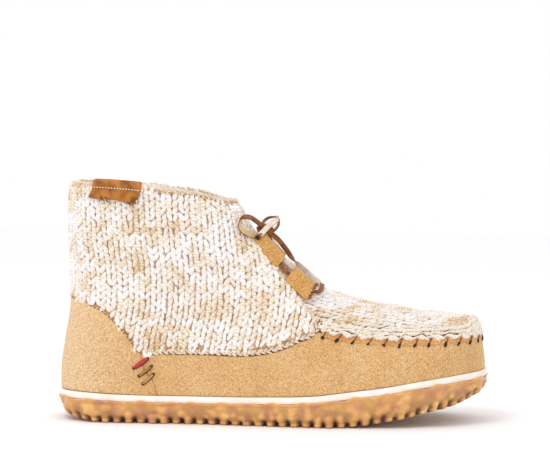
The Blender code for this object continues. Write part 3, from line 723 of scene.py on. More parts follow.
def knit_finish(name):
    """Marled wool of two plies. The yarn attribute holds the first ply's colour, and its alpha how
    strongly the second ply, a rust one, shows in the twist."""
    soft = dict(Sheen_Weight=0.45, Sheen_Roughness=0.6, Sheen_Tint=(1.0, 0.96, 0.92, 1))
    made, tree, shader = finish(name, 0.95, Specular_IOR_Level=0.1, **soft)
    yarn = add(tree, "ShaderNodeAttribute", attribute_name="yarn")
    flat = add(tree, "ShaderNodeSeparateXYZ")
    tree.links.new(add(tree, "ShaderNodeUVMap", uv_map="cloth").outputs["UV"], flat.inputs[0])
    place = object_place(tree)
    fuzz = place_group(tree, NAP, place, size=0.0009, long=0.4)
    turns = reckon(tree, "ADD", flat.outputs["X"], reckon(tree, "MULTIPLY", flat.outputs["Y"], TWISTS))
    turns = reckon(tree, "ADD", turns, reckon(tree, "MULTIPLY", fuzz.outputs["Shade"], 0.5))
    twist = reckon(tree, "SINE", reckon(tree, "MULTIPLY", turns, 4 * math.pi))
    twist = reckon(tree, "ADD", reckon(tree, "MULTIPLY", twist, 0.5), 0.5)
    second = blend_colours(tree, 0.8, yarn.outputs["Color"], RUST_PLY)
    share = reckon(tree, "MULTIPLY", twist, yarn.outputs["Alpha"], clamp=True)
    colour = blend_colours(tree, share, yarn.outputs["Color"], second)
    fleck = ramp(tree, fuzz.outputs["Height"], [(0.3, (0.82, 0.7, 0.6)), (0.48, (1, 1, 1))])
    paint(tree, shader, blend_colours(tree, 0.4, colour, fleck, "MULTIPLY"))
    height = reckon(tree, "ADD", reckon(tree, "MULTIPLY", twist, 0.5), fuzz.outputs["Height"])
    raise_by(tree, shader, height, 0.45, 1.0)
    return made


def plain_cloth(name, dark, pale, grain, lift):
    """A cloth that shows between stitches or inside the shoe: soft, matt and a little uneven. Between
    stitches, its dark tones are painted shade.
    """
    made, tree, shader = finish(name, 0.97, Sheen_Weight=0.3, Specular_IOR_Level=0.1)
    nap = place_group(tree, NAP, object_place(tree), size=grain, long=0.4)
    paint(tree, shader, ramp(tree, nap.outputs["Height"], [(0.3, dark), (0.62, pale)]))
    raise_by(tree, shader, nap.outputs["Height"], lift, 1.0)
    return made


def foam_finish():
    made, tree, shader = finish("cream_foam", 0.62, Specular_IOR_Level=0.35)
    place = object_place(tree)
    clouds = place_group(tree, MOTTLE, place, size=0.012, detail=4.0)
    creams = [(0.35, (0.86, 0.77, 0.68)), (0.6, (0.93, 0.87, 0.81))]
    paint(tree, shader, ramp(tree, clouds.outputs["Cloud"], creams))
    nap = place_group(tree, NAP, place, size=0.0016)
    raise_by(tree, shader, nap.outputs["Height"], 0.12, 0.6)
    return made


AMBERS = [(0.3, (0.56, 0.24, 0.15)), (0.42, (0.69, 0.33, 0.12))]
AMBERS += [(0.58, (0.78, 0.42, 0.12)), (0.72, (0.88, 0.57, 0.27))]
GUM_SHADOW = (0.1, 0.03, 0.018)


def gum_finish():
    """Gum rubber: amber, a little clouded, with a faint waxy gloss, and painted shade, near black, in the
    slots and in the hollows between lumps, as much as the sole's mesh holds for each point."""
    made, tree, shader = finish("gum_rubber", 0.34, Specular_IOR_Level=0.5, Subsurface_Weight=0.15)
    shader.inputs["Subsurface Radius"].default_value = (0.006, 0.003, 0.0012)
    place = object_place(tree)
    clouds = place_group(tree, MOTTLE, place, size=0.008, detail=4.0)
    hollow = add(tree, "ShaderNodeAttribute", attribute_name="hollow")
    share = reckon(tree, "MULTIPLY", hollow.outputs["Fac"], 0.97, clamp=True)
    amber = ramp(tree, clouds.outputs["Cloud"], AMBERS)
    paint(tree, shader, blend_colours(tree, share, amber, GUM_SHADOW))
    nap = place_group(tree, NAP, place, size=0.003, long=0.35)
    raise_by(tree, shader, nap.outputs["Height"], 0.5, 0.6)
    return made


def leather_finish(name, dark, pale, roughness, grain, coat):
    """Leather with clouds in its dye and pores of a given size in metres."""
    gloss = dict(Coat_Weight=coat, Coat_Roughness=0.35, Specular_IOR_Level=0.2)
    made, tree, shader = finish(name, roughness, **gloss)
    place = object_place(tree)
    clouds = place_group(tree, MOTTLE, place, size=0.006, detail=4.0)
    paint(tree, shader, ramp(tree, clouds.outputs["Cloud"], [(0.3, dark), (0.66, pale)]))
    pores = add(tree, "ShaderNodeTexVoronoi", {"Scale": 1 / grain}, feature="DISTANCE_TO_EDGE")
    tree.links.new(place, pores.inputs["Vector"])
    height = reckon(tree, "MULTIPLY", pores.outputs["Distance"], 2.0, clamp=True)
    raise_by(tree, shader, height, 0.12, 0.7)
    return made


def thread_finish(name, colour):
    made, tree, shader = finish(name, 0.6, Specular_IOR_Level=0.3)
    twist = add(tree, "ShaderNodeTexNoise", {"Scale": 1800.0, "Detail": 2.0})
    tree.links.new(object_place(tree), twist.inputs["Vector"])
    dark = tuple(0.6 * part for part in colour)
    paint(tree, shader, ramp(tree, twist.outputs["Fac"], [(0.35, dark), (0.6, colour)]))
    raise_by(tree, shader, twist.outputs["Fac"], 0.1, 0.8)
    return made


WOOL = knit_finish("wool")
# Painted shade: the brown cloth under the knit stands for the shade in the gaps between the stitches, over
# the cream lining.
KNIT_GAP_SHADE = plain_cloth("under_knit", (0.34, 0.16, 0.075), (0.84, 0.58, 0.37), 0.0016, 0.6)
FLEECE = plain_cloth("fleece", (0.7, 0.6, 0.5), (0.9, 0.83, 0.75), 0.0022, 1.2)
FOAM = foam_finish()
GUM = gum_finish()
GRAIN = leather_finish("lace_grain", (0.05, 0.01, 0.002), (0.36, 0.12, 0.03), 0.5, 0.0009, 0.08)
FLESH = leather_finish("lace_flesh", (0.6, 0.44, 0.34), (0.94, 0.82, 0.73), 0.85, 0.0007, 0.0)
TAN_FLESH = leather_finish("lace_flesh_tan", (0.5, 0.3, 0.13), (0.7, 0.5, 0.27), 0.85, 0.0007, 0.0)
LABEL_HIDE = leather_finish("label_leather", (0.22, 0.065, 0.006), (0.5, 0.19, 0.03), 0.5, 0.001, 0.1)
TAN_THREAD = thread_finish("tan_thread", (0.62, 0.32, 0.12))
RED_THREAD = thread_finish("red_thread", (0.6, 0.04, 0.05))
# Rust, for threads, and also for the painted shadow line under the quarter's hem.
RUST_THREAD_AND_SHADE = thread_finish("rust_thread", (0.26, 0.09, 0.025))
ORANGE_THREAD = thread_finish("orange_thread", (0.5, 0.2, 0.06))
# Near black, and not a thread: painted shade for the seam's holes, the gaps under the thongs and the inside
# of the bow's curl.
PAINTED_HOLE_SHADE = thread_finish("dark_thread", (0.035, 0.01, 0.004))
CREAM_THREAD = thread_finish("cream_thread", (0.85, 0.74, 0.6))
print("finishes:", len(bpy.data.materials))

# %% [markdown]
# ## The cream midsole and the gum outsole
#
# The sole is two moulded layers. Each is a wall that follows the last's outline a little way out,
# closed above and below. A wall like this can be swept or lofted. Here it is a sheet laid round the
# shoe through a few outlines, joined where its ends meet, and closed by filling its two rims.

# %% A closed layer of the sole
SOLE_MARGIN = 3.0  # how far the sole stands out past the last
SOLE_INSIDE = -9.0  # where the layers of the sole are closed, out from the last
MIDSOLE_HEIGHT = 4.6
LUG_PITCH = 7.2
CLEAR = 0.3  # between neighbouring pieces

base_loop = loop_round(sole_top, 0.0, 900)
lug_count = 2 * round(walk(base_loop)[-1] / LUG_PITCH / 2)
SOLE_COLUMNS = 6 * lug_count
base_edge = stretch(base_loop, lambda p: p[:, 0] * 0 + 1, SOLE_COLUMNS)
edge_out = unit(normals(base_edge) * [1, 1, 0])
edge_length = walk(base_edge)[-1]


def sole_layer(rows):
    """A sheet through outlines, each a distance out from the last at heights given over the edge."""
    table = []
    for out, height in rows:
        row = base_edge + np.reshape(out, (-1, 1)) * edge_out
        row[:, 2] = height(row[:, 0])
        table.append(row)
    return np.array(table)


def close_rims(shaped):
    """Fills the open loops of a ring-shaped sheet, so that it is one closed body."""
    bmesh.ops.triangle_fill(shaped, use_beauty=True, edges=edge_of(shaped))
    bmesh.ops.recalc_face_normals(shaped, faces=shaped.faces)
    return shaped


def midsole_low(x):
    return sole_top(x) - MIDSOLE_HEIGHT


midsole_rows = [
    (SOLE_INSIDE, sole_top),
    (SOLE_MARGIN - 1.0, sole_top),
    (SOLE_MARGIN - 0.3, lambda x: sole_top(x) - 0.25),
    (SOLE_MARGIN, lambda x: sole_top(x) - 0.9),
    (SOLE_MARGIN + 0.15, lambda x: sole_top(x) - 2.2),
    (SOLE_MARGIN, lambda x: midsole_low(x) + 0.9),
    (SOLE_MARGIN - 0.9, lambda x: midsole_low(x) + 0.2),
    (SOLE_MARGIN - 1.8, midsole_low),
    (SOLE_INSIDE, midsole_low),
]
midsole = close_rims(sheet_of(sole_layer(midsole_rows), closed=True))
told(piece("midsole_foam", midsole, [FOAM], "cream_foam", ["midsole"]))

# %% [markdown]
# The gum outsole laps a little over the foam with a wavy edge, as a moulded wall does, and stands on
# square lugs. The wall's relief is a sum of smooth bumps, added to how far out each point stands.

# %% The gum outsole's wall
RIPPLES = [(0.55, 37, 0.3), (0.25, 61, 1.9), (0.3, 23, 4.0)]  # of the lap: height, turns, start
LUMPS, LUMP_SIZES, LUMP_HEIGHTS = 260, (1.3, 2.6), (1.2, 3.2)
LUMPS_END = 3.0  # however many lie over each other
WALL_HEIGHT = 11.0  # about, for the spread of the lumps
WALL_ROWS = np.linspace(0.88, 0.0, 13)  # shares of the way up the wall
WALL_TUCK = 1.2  # how far the wall's foot is drawn in
GUM_OUT = SOLE_MARGIN - 1.0
GROOVE_TOP, GROOVE_DEPTH = 0.3, 2.0  # of the hollows over the slots, up the wall and into it
LUG_HEIGHT, LUG_DEPTH, LUG_SCATTER = 2.8, 8.0, 0.35
LUG_ROWS = [(0.8, -0.1), (0.5, -0.2), (0.2, -0.7), (0.0, -1.7)]  # up a lug's face, and out
SLOT_DEPTH, SLOT_SHOULDER = 6.0, 1.2

rng = np.random.default_rng(7)
lump_at = rng.uniform(0, 1, (LUMPS, 2)) ** [1.0, 1.5]  # most lie low on the wall
lump_size = rng.uniform(*LUMP_SIZES, LUMPS)
lump_height = rng.uniform(*LUMP_HEIGHTS, LUMPS)
around = np.linspace(0, 1, SOLE_COLUMNS + 1)
ripple = sum(high * np.sin(2 * math.pi * turns * around + start) for high, turns, start in RIPPLES)


def lumps(up):
    """The relief of the gum wall all round it, at a share of the way up."""
    relief = 0 * around
    for (place, level), width, high in zip(lump_at, lump_size, lump_height):
        away = np.abs(around - place)
        away = np.minimum(away, 1 - away) * edge_length
        relief = relief + high * np.exp(-(away**2 + ((up - level) * WALL_HEIGHT) ** 2) / width**2)
    return LUMPS_END * np.tanh(relief / LUMPS_END)


def gum_top(x):
    return sole_top(x) - MIDSOLE_HEIGHT - CLEAR + 0.2


def wall_height(x, share):
    """The height of the wall at a share of the way from the lugs to its top."""
    return tread(x) + LUG_HEIGHT + share * (gum_top(x) - tread(x) - LUG_HEIGHT)


gum_rows = [(-6.0, gum_top), (SOLE_MARGIN - 1.5, gum_top)]
for out, rise in ((-0.5, 0.9), (0.4, 0.8), (0.8, 0.1)):
    gum_rows.append((SOLE_MARGIN + out, lambda x, rise=rise: gum_top(x) + rise + ripple))
# Painted shade for each point of the gum wall, from 0 to 1: none on the lap, more in the hollows between
# lumps low on the wall, and most in the grooves and slots between the lugs.
hollows = [0 * around] * len(gum_rows)
slot_at = np.rint(around * lug_count).astype(int) % lug_count
lug_at = np.floor(around * lug_count).astype(int) % lug_count
lug_out = rng.normal(0, LUG_SCATTER, lug_count)[lug_at]
between_lugs = (0.5 + 0.5 * np.cos(2 * math.pi * lug_count * around)) ** 2
slots = between_lugs**3 * rng.uniform(0.8, 1.1, lug_count)[slot_at]
for share in WALL_ROWS:
    relief = lumps(share) * (1 - share**3)
    groove = between_lugs * smoothstep(1 - share / GROOVE_TOP)
    hollows.append(np.clip(1.2 - relief, 0, 1) * min(1.5 * (1 - share), 1) * 0.45 + 0.8 * groove)
    out = GUM_OUT - WALL_TUCK * (1 - share) ** 2 + relief - GROOVE_DEPTH * groove
    gum_rows.append((out, lambda x, share=share: wall_height(x, share)))
lug_face = GUM_OUT - WALL_TUCK + 0.8 * lumps(0.0)
for share, further in LUG_ROWS:
    hollows.append(np.clip(2.4 * slots + 0.7 * (1 - share) * between_lugs, 0, 1))
    slot = SLOT_DEPTH * slots + SLOT_SHOULDER * between_lugs
    out = lug_face + further + lug_out * (1 - share) - slot
    gum_rows.append((out, lambda x, share=share: tread(x) + share * LUG_HEIGHT))
gum_rows.append((SOLE_MARGIN - LUG_DEPTH, lambda x: tread(x) + 0.05))
gum_rows.append((SOLE_MARGIN - LUG_DEPTH - 0.5, lambda x: tread(x) + LUG_HEIGHT))
hollows += [0 * around] * 2
gum_wall = close_rims(sheet_of(sole_layer(gum_rows), closed=True, hollows=np.array(hollows)))
told(round_off(piece("outsole_gum", gum_wall, [GUM], "gum_rubber", ["outsole"])))

# %% [markdown]
# The lugs round the edge belong to the wall, cut apart by slots. Those inside the ring are one small
# block, bevelled and repeated in rows, all in one mesh.

# %% The lugs
LUG_WIDTH, LUG_BEVEL = 5.0, 0.5
LUG_SINK = 1.0  # how far a lug reaches up into the sole


def add_block(shaped, sides, middle):
    """A bevelled block with the given sides. Its foot follows the tread's slope."""
    made = bmesh.ops.create_cube(shaped, size=1.0)["verts"]
    edges = list({edge for vert in made for edge in vert.link_edges})
    bmesh.ops.scale(shaped, vec=sides, verts=made)
    chamfer = dict(offset=LUG_BEVEL, segments=1, profile=0.5, affect="EDGES", material=-1)
    made = bmesh.ops.bevel(shaped, geom=edges, **chamfer)["verts"]
    faces = {face for vert in made for face in vert.link_faces}
    block = list({vert for face in faces for vert in face.verts})
    bmesh.ops.translate(shaped, vec=middle, verts=block)
    for vert in block:
        vert.co.z += float(tread(vert.co.x) - tread(middle[0]))


shaped = bmesh.new()
high = LUG_HEIGHT + LUG_SINK
inner = 0
for x in np.arange(HEEL_X + 14, TOE_X - 12, LUG_PITCH):
    outline = [abs(y) for y in base_edge[np.abs(base_edge[:, 0] - x) < 4.0][:, 1]]
    half = min(outline) - LUG_DEPTH - 1.0
    for y in np.arange(-half + LUG_WIDTH / 2, half - 2.0, LUG_PITCH):
        middle = (x, y + axis_y(x), tread(x) + high / 2 + 0.1)
        add_block(shaped, (LUG_WIDTH, LUG_WIDTH, high), middle)
        inner += 1
told(piece("outsole_lugs", shaped, [GUM], "gum_rubber", ["outsole"], smooth=False))
print(lug_count, "lugs round the edge and", inner, "inside it")

# %% [markdown]
# ## The line of the moccasin seam
#
# The knitted plug is drawn into the top of the suede wall by a row of whip stitches. Each stitch
# pulls the two together, so the edge between them puckers: the plug swells into a small lobe between
# two stitches and is pinched at each. Both the knit and the suede follow these lobes, so the line of
# the seam and a measure of the lobes come before them.

# %% Where the whip stitches lie, and how far a point is from one
SEAM_START_X = 29.6
FIRST_STITCH, STITCH_PITCH = 2.2, 9.3
STITCH_LEAN = 0.9  # of the slit over each stitch, towards the toe on the lateral side
SEAM_COLUMNS = 360


def seam_line(rise, out):
    """The seam's line, or one that runs a rise above it and a distance out from the last."""
    row = loop_round(lambda x: seam_z(x) + rise, 0.0, 720)[:-1]
    line = stretch(row, lambda p: p[:, 0] - SEAM_START_X, SEAM_COLUMNS)
    return line + np.reshape(out, (-1, 1)) * normals(line)


seam_middle = seam_line(0.0, 0.0)
seam_walked = walk(seam_middle)
seam_stitches = round((seam_walked[-1] - 2 * FIRST_STITCH) / STITCH_PITCH)
STITCH_PITCH = (seam_walked[-1] - 2 * FIRST_STITCH) / seam_stitches
seam_tree = KDTree(len(seam_middle))
for number, point in enumerate(seam_middle):
    seam_tree.insert(point, number)
seam_tree.balance()
print(seam_stitches + 1, "whip stitches,", round(STITCH_PITCH, 1), "mm apart")


def lobe_at(walked):
    """0 at a stitch and 1 between two of them."""
    return np.abs(np.sin(math.pi * (walked - FIRST_STITCH) / STITCH_PITCH)) ** 1.1


def on_seam(walked, line):
    """The point of a line beside the seam, at a distance walked along the seam."""
    return along_line(walked, seam_walked, line)


def seam_measure(points):
    """For each point: the lobe there, and its height over the seam."""
    nearest = np.array([seam_tree.find(point)[1] for point in points])
    height = points[:, 2] - seam_middle[nearest, 2]
    return lobe_at(seam_walked[nearest] - STITCH_LEAN * height), height

# %% [markdown]
# ## Lining and insole
#
# Inside, the shoe is lined with cream fleece from the insole to the collar. The lining is one sheet
# that follows the last from the sole to the collar, with its rim rolled a little outwards, and the
# insole is a padded plate with a rounded edge.

# %% The height of a ring between the sole and the collar
def straight(x, start, end):
    """The height, at x, of the straight line from a side-view point to another."""
    return start[1] + (end[1] - start[1]) * (x - start[0]) / (end[0] - start[0])


TOE_CORNER_X = 121.0
ridge_walk = np.r_[0, np.cumsum(np.hypot(np.diff(ridge_x), np.diff(ridge_z)))]


def front_point(share):
    """A point on the front line, from the sole at the toe (0) over the vamp to the collar (1)."""
    sole_z = sole_top(TOE_X)
    toe_height = np.interp(TOE_CORNER_X, ridge_x, ridge_z) - sole_z
    corner = np.interp(TOE_CORNER_X, ridge_x, ridge_walk)
    top = np.interp(COLLAR_FRONT_X, ridge_x, ridge_walk)
    walked = share * (corner - top + toe_height)
    if walked < toe_height:
        return toe_x(sole_z + walked), sole_z + walked
    place = corner - (walked - toe_height)
    return np.interp(place, ridge_walk, ridge_x), np.interp(place, ridge_walk, ridge_z)


def ring_height(share, rise):
    """The height, over x, of the ring at a share of the way from the sole to a rise over the collar."""
    heel, toe = (HEEL_X, sole_top(HEEL_X)), (TOE_X, sole_top(TOE_X))
    collar_back = (back_x(COLLAR[0]["z"]), COLLAR[0]["z"])
    collar_front = (COLLAR_FRONT_X, collar_z(COLLAR_FRONT_X))
    back_z = heel[1] + share * (collar_back[1] - heel[1])
    back, front = (back_x(back_z), back_z), front_point(share)

    def height(x):
        bottom = (1 - share) ** 3 * (sole_top(x) - straight(x, heel, toe))
        top = share**6 * (collar_z(x) - straight(x, collar_back, collar_front) + rise)
        return straight(x, back, front) + bottom + top

    return height


# %% The lining and the insole
LINING_ROWS, LINING_COLUMNS = 34, 120
LINING_THICK, LINING_OUT, LINING_TOP = 1.6, -1.7, -0.6  # the top is over the collar
LEG_CENTRE_X = -77.0  # of the shaft, where the rings' centres end

lining_rows = []
for share in np.linspace(0, 1, LINING_ROWS + 1):
    ring = loop_round(ring_height(share, LINING_TOP), LEG_CENTRE_X * share**0.6, 360)
    lining_rows.append(even(ring, np.linspace(0, walk(ring)[-1], LINING_COLUMNS + 1)))
lining_sheet = facing_out(sheet_of(offset(np.array(lining_rows), LINING_OUT), closed=True))
# The lining's outer face, seen only through the gaps in the knit, takes the painted shade of the cloth under
# the knit. Its inside and its rim are fleece.
lining = piece("lining", lining_sheet, [KNIT_GAP_SHADE, FLEECE], "fleece", ["upper"])
told(round_off(thicken(lining, LINING_THICK, rim=1, inner=1)))

INSOLE_PROFILE = ((-2.8, 0.3), (-2.9, 3.0), (-4.0, 4.3), (-7.0, 4.7))  # out from the last, and up
insole_rows = []
for out, rise in INSOLE_PROFILE:
    row = base_edge + out * edge_out
    row[:, 2] = sole_top(row[:, 0]) + rise
    insole_rows.append(row[::2])
shaped = sheet_of(np.array(insole_rows), closed=True)
bmesh.ops.holes_fill(shaped, edges=edge_of(shaped), sides=0)
bmesh.ops.recalc_face_normals(shaped, faces=shaped.faces)
told(piece("insole_pad", shaped, [FLEECE], "fleece", ["insole"]))

# %% [markdown]
# ## Knitting
#
# Stockinette is made of columns of V-shaped stitches. Each V has two legs, plump strands of yarn that
# come out of the stitch below and lean outwards. A pattern painted on a smooth shell looks flat from
# the side, so the legs are real shapes here: one strand is made once, two Array modifiers repeat it
# over a flat swatch, and the swatch is then wrapped on the last, point by point. Stitches that lie
# outside the pattern piece are cut away, as with scissors.

# %% One strand of yarn, and a flat swatch of stitches
WALE = 6.8  # from one column of stitches to the next
COURSE = 4.0  # from one row to the next
HEIGHTS, DARKER = (45.0, 65.0, 110.0), (0.1, 0.15, -0.45)  # of the yarn, up the shaft
STRAND = dict(long=7.0, wide=3.15, thick=2.7, lean=21.0, dip=11.0)
STRAND_VARIES = dict(long=0.1, wide=0.13, lean=0.08, place=(0.2, 0.3, 0.16))
WOOL_PATCHES = ((1.0, 1.5, 0.9), (0.7, 3.6, 0.6), (2.6, 3.0, 0.8))  # wales, courses, share
WOOL_TONES = chart("tone colour", [
    (-2.0, (1.0, 0.965, 0.97)), (-0.6, (1.0, 0.96, 0.92)), (0.6, (0.99, 0.925, 0.82)),
    (1.7, (0.95, 0.83, 0.66)), (3.0, (0.82, 0.6, 0.37)),
])


def strand_mesh(side):
    """One leg of a stitch at its place in the first stitch of the swatch. side is -1 or 1."""
    shaped = bmesh.new()
    shaped.loops.layers.uv.new("cloth")
    bmesh.ops.create_uvsphere(shaped, u_segments=8, v_segments=6, radius=0.5, calc_uvs=True)
    bmesh.ops.scale(shaped, vec=(STRAND["wide"], STRAND["thick"], STRAND["long"]), verts=shaped.verts)
    for angle, axis in ((-90, "X"), (-STRAND["dip"], "X"), (-side * STRAND["lean"], "Z")):
        turn = Matrix.Rotation(math.radians(angle), 3, axis)
        bmesh.ops.rotate(shaped, matrix=turn, verts=shaped.verts)
    bmesh.ops.translate(shaped, vec=(side * WALE * 0.25, 0, 0), verts=shaped.verts)
    return mesh_of("strand", shaped)


def repeat(obj, name, count, step):
    """An Array modifier with a constant step."""
    arrayed = obj.modifiers.new(name, "ARRAY")
    arrayed.use_relative_offset = False
    arrayed.use_constant_offset = True
    arrayed.constant_offset_displace = step
    arrayed.count = count


def swatch(wales, courses):
    """Two objects, with the left and the right legs of a flat piece of stitches."""
    found = []
    for side in (-1, 1):
        obj = put("swatch", strand_mesh(side))
        repeat(obj, "wales", wales, (WALE, 0, 0))
        repeat(obj, "courses", courses, (0, COURSE, 0))
        found.append(settle(obj))
    return found


def wool_colours(at, seed, darker):
    """Marled yarn: patches of white, cream and rust that run along the rows, and a little of each in
    every patch. at is (wale, course) numbers, and darker moves the tones, by one number or by many."""
    draws = np.random.default_rng(seed)
    tone = 0 * at[:, 0]
    for long, high, share in WOOL_PATCHES:
        knots = draws.normal(0, 1, (60, 60))
        x, y = at[:, 0] / long % 59, at[:, 1] / high % 59
        i, j = x.astype(int), y.astype(int)
        fx, fy = smoothstep(x - i), smoothstep(y - j)
        near = knots[i, j] * (1 - fx) + knots[i + 1, j] * fx
        far = knots[i, j + 1] * (1 - fx) + knots[i + 1, j + 1] * fx
        tone = tone + share * (near * (1 - fy) + far * fy)
    tone = tone + draws.normal(darker, 0.8, len(tone))
    first = along_line(tone, column(WOOL_TONES, "tone"), np.array([row["colour"] for row in WOOL_TONES]))
    second = np.interp(tone, [-1.2, 0.8, 2.6], [0.12, 0.6, 1.0])
    return np.column_stack([first, second])


def knit(name, cloth, wales, courses, keep, start, seed, node):
    """Wraps a swatch on the shoe. cloth(across, up, above) gives points in millimetres, and keep says
    which stitch centres belong to the piece."""
    made = []
    draws = np.random.default_rng(seed)
    for leg in swatch(wales, courses):
        total = wales * courses
        count = len(leg.data.vertices) // total
        points = np.empty(len(leg.data.vertices) * 3)
        leg.data.vertices.foreach_get("co", points)
        points = points.reshape(total, count, 3)
        centres = points.mean(axis=1, keepdims=True)
        loose = points - centres
        loose[:, :, 1] *= draws.normal(1, STRAND_VARIES["long"], (total, 1))
        loose[:, :, 0] *= draws.normal(1, STRAND_VARIES["wide"], (total, 1))
        lean = draws.normal(0, STRAND_VARIES["lean"], (total, 1))
        loose[:, :, 0] += lean * loose[:, :, 1]
        shift = draws.normal(0, 1, (total, 1, 3)) * STRAND_VARIES["place"]
        centres = centres + shift + [start[0], start[1], 0]
        kept = keep(centres[:, 0])
        moved = cloth(*(centres + loose).reshape(-1, 3).T)
        height = cloth(centres[:, 0, 0], centres[:, 0, 1], 0 * centres[:, 0, 0])[:, 2]
        darker = np.interp(height, HEIGHTS, DARKER)
        colours = wool_colours(centres[:, 0, :2] / [WALE, COURSE], seed + 1, darker)
        shaped = bmesh.new()
        shaped.from_mesh(leg.data)
        yarn = shaped.verts.layers.float_color.new("yarn")
        for vert in lay(shaped, moved).verts:
            vert[yarn] = colours[vert.index // count]
        lost = [vert for vert in shaped.verts if not kept[vert.index // count]]
        bmesh.ops.delete(shaped, geom=lost, context="VERTS")
        bpy.data.objects.remove(leg)
        made.append(shaped)
    left, right = made
    right.from_mesh(mesh_of("legs", left))
    bmesh.ops.recalc_face_normals(right, faces=right.faces)
    return told(piece(name, right, [WOOL], "knit", [node]))


print("a strand has", len(strand_mesh(1).polygons), "faces")


# %% The shaft's cloth: wales run up, courses run round from the middle of the back
def cloth_map(rows, row_places):
    """A function that lays (across, up, above) on a table of lines, each walked in millimetres."""
    longest = max(walk(row)[-1] for row in rows)
    stops = np.arange(0, longest, CLOTH_STEP)
    table = np.array([even(row, stops) for row in rows])
    out = normals(table.reshape(-1, 3)).reshape(table.shape)

    def cloth(across, up, above):
        x = np.clip(across / CLOTH_STEP, 0, len(stops) - 1.001)
        y = np.clip(np.interp(up, row_places, np.arange(len(row_places))), 0, len(rows) - 1.001)
        i, j = x.astype(int), y.astype(int)
        fx, fy = (x - i)[:, None], (y - j)[:, None]
        corners = []
        for what in (table, out):
            near = what[j, i] * (1 - fx) + what[j, i + 1] * fx
            far = what[j + 1, i] * (1 - fx) + what[j + 1, i + 1] * fx
            corners.append(near * (1 - fy) + far * fy)
        return corners[0] + above[:, None] * corners[1]

    return cloth


SHAFT_ROWS = np.arange(38.0, 154.0, 3.0)
SHAFT_CENTRE_X = -60.0
CLOTH_STEP = 1.5
shaft_cloths = {}
for side in (-1, 1):
    rows = []
    for z in SHAFT_ROWS:
        ring = loop_round(lambda x, level=z: 0 * x + level, SHAFT_CENTRE_X)
        rows.append(ring[:: -side][: len(ring) // 2 + 1])
    shaft_cloths[side] = cloth_map(rows, SHAFT_ROWS)

# %% The quarters' edges, their sheet of painted shade and their knit
QUARTER_LIFT = 1.25  # of the stitches' middles above the last
FRONT_GAP = 1.2  # from the last stitches to the middle of the front
COLLAR_DROP = 1.9  # of the highest stitches' middles below the collar
UNDER_COUNTER_X = -74.5  # behind this, the quarter's hem lies under the counter


def quarter_keep(cloth):
    """Says which stitches lie inside the quarter's pattern."""

    def keep(centres):
        at = cloth(centres[:, 0], centres[:, 1], 0 * centres[:, 0])
        x, z = at[:, 0], at[:, 2]
        low = hem_z(x) + np.where(x < UNDER_COUNTER_X, -0.5, 3.0)
        beside = np.abs(at[:, 1] - axis_y(x)) > FRONT_GAP
        return beside & (z > low) & (z < collar_z(x) - COLLAR_DROP) & (x < throat_x(z) - 1.2)

    return keep


def quarter_edge(side):
    """The quarter's edge on one side: along its hem to the front corner, up the throat, and back along
    the collar."""
    corner = THROAT[0]
    hem_x = np.linspace(wall_back_x(39.0) + 1, corner["x"] - 2.2, 90)
    throat_at = np.linspace(corner["z"] + 0.6, collar_z(COLLAR_FRONT_X) - 3.0, 70)
    collar_x = np.linspace(throat_x(throat_at[-1]) - 2.5, back_x(140.0) + 2.0, 70)
    x = np.r_[hem_x, throat_x(throat_at) - 1.6, collar_x]
    z = np.r_[hem_z(hem_x) + 1.3, throat_at, collar_z(collar_x) - 1.4]
    line = on_side(x, z, 0.0, side)
    return even(line, np.arange(0, walk(line)[-1], EDGE_STEP))


EDGE_STEP, EDGE_LIFT, EDGE_ZIGZAG = 1.75, 1.5, 0.75
EDGE_SIZE = (4.2, 1.8, 2.1)  # of a stitch of the edge: long, wide and thick
for side, word in SIDES:
    line = quarter_edge(side)
    out = normals(line)
    along = np.gradient(line, axis=0)
    draws = np.random.default_rng(61 + side)
    places, at = [], []
    for number in range(1, len(line) - 1):
        turn = 1 if number % 2 else -1
        across = unit(np.cross(out[number], along[number]))
        way = along[number] / EDGE_STEP + turn * draws.normal(0.45, 0.08) * across
        middle = line[number] + EDGE_LIFT * out[number] + turn * EDGE_ZIGZAG * across
        middle = middle + draws.normal(0, 0.2, 3)
        places.append(aimed(middle, way, out[number], EDGE_SIZE * draws.normal(1, 0.1, 3)))
        at.append((number / 4, 0.0))
    is_collar = line[1:-1, 2] > collar_z(line[1:-1, 0]) - 4
    colours = wool_colours(np.array(at), 70, np.where(is_collar, -1.3, 0.5))
    colours[is_collar, 3] *= 0.3
    told(piece("quarter_edge_" + word, copies(YARN_GRAIN, places, colours), [WOOL], "knit", ["upper"]))

# Under each quarter's stitches lies a thin sheet in the painted shade of the cloth under the knit, so that
# the gaps between stitches look shaded.
BASE_STEP, BASE_LIFT, BASE_THICK = 3.0, 0.85, 0.5
for side, word in SIDES:
    across, up = np.meshgrid(np.arange(0, 190, BASE_STEP), np.arange(SHAFT_ROWS[0], 150, BASE_STEP))
    table = shaft_cloths[side](across.ravel(), up.ravel(), 0 * across.ravel() + BASE_LIFT)
    shaped = sheet_of(table.reshape(*across.shape, 3))
    lost = []
    for vert in shaped.verts:
        x, z = vert.co.x, vert.co.z
        low = hem_z(x) - (5.5 if x < UNDER_COUNTER_X else 0.5)
        if z < low or z > collar_z(x) - 1.0 or x > throat_x(z) - 1.0:
            lost.append(vert)
    bmesh.ops.delete(shaped, geom=lost, context="VERTS")
    cloth = piece("quarter_cloth_" + word, facing_out(shaped), [KNIT_GAP_SHADE], "knit", ["upper"])
    told(thicken(cloth, BASE_THICK))

QUARTER_WALES, QUARTER_COURSES = 27, 28
for side, word in SIDES:
    flat = shaft_cloths[side]
    knit(
        "shaft_knit_" + word,
        lambda across, up, above, flat=flat: flat(across, up, above + QUARTER_LIFT),
        QUARTER_WALES,
        QUARTER_COURSES,
        quarter_keep(flat),
        start=(WALE / 2, 38.5),
        seed=21 + side,
        node="upper",
    )

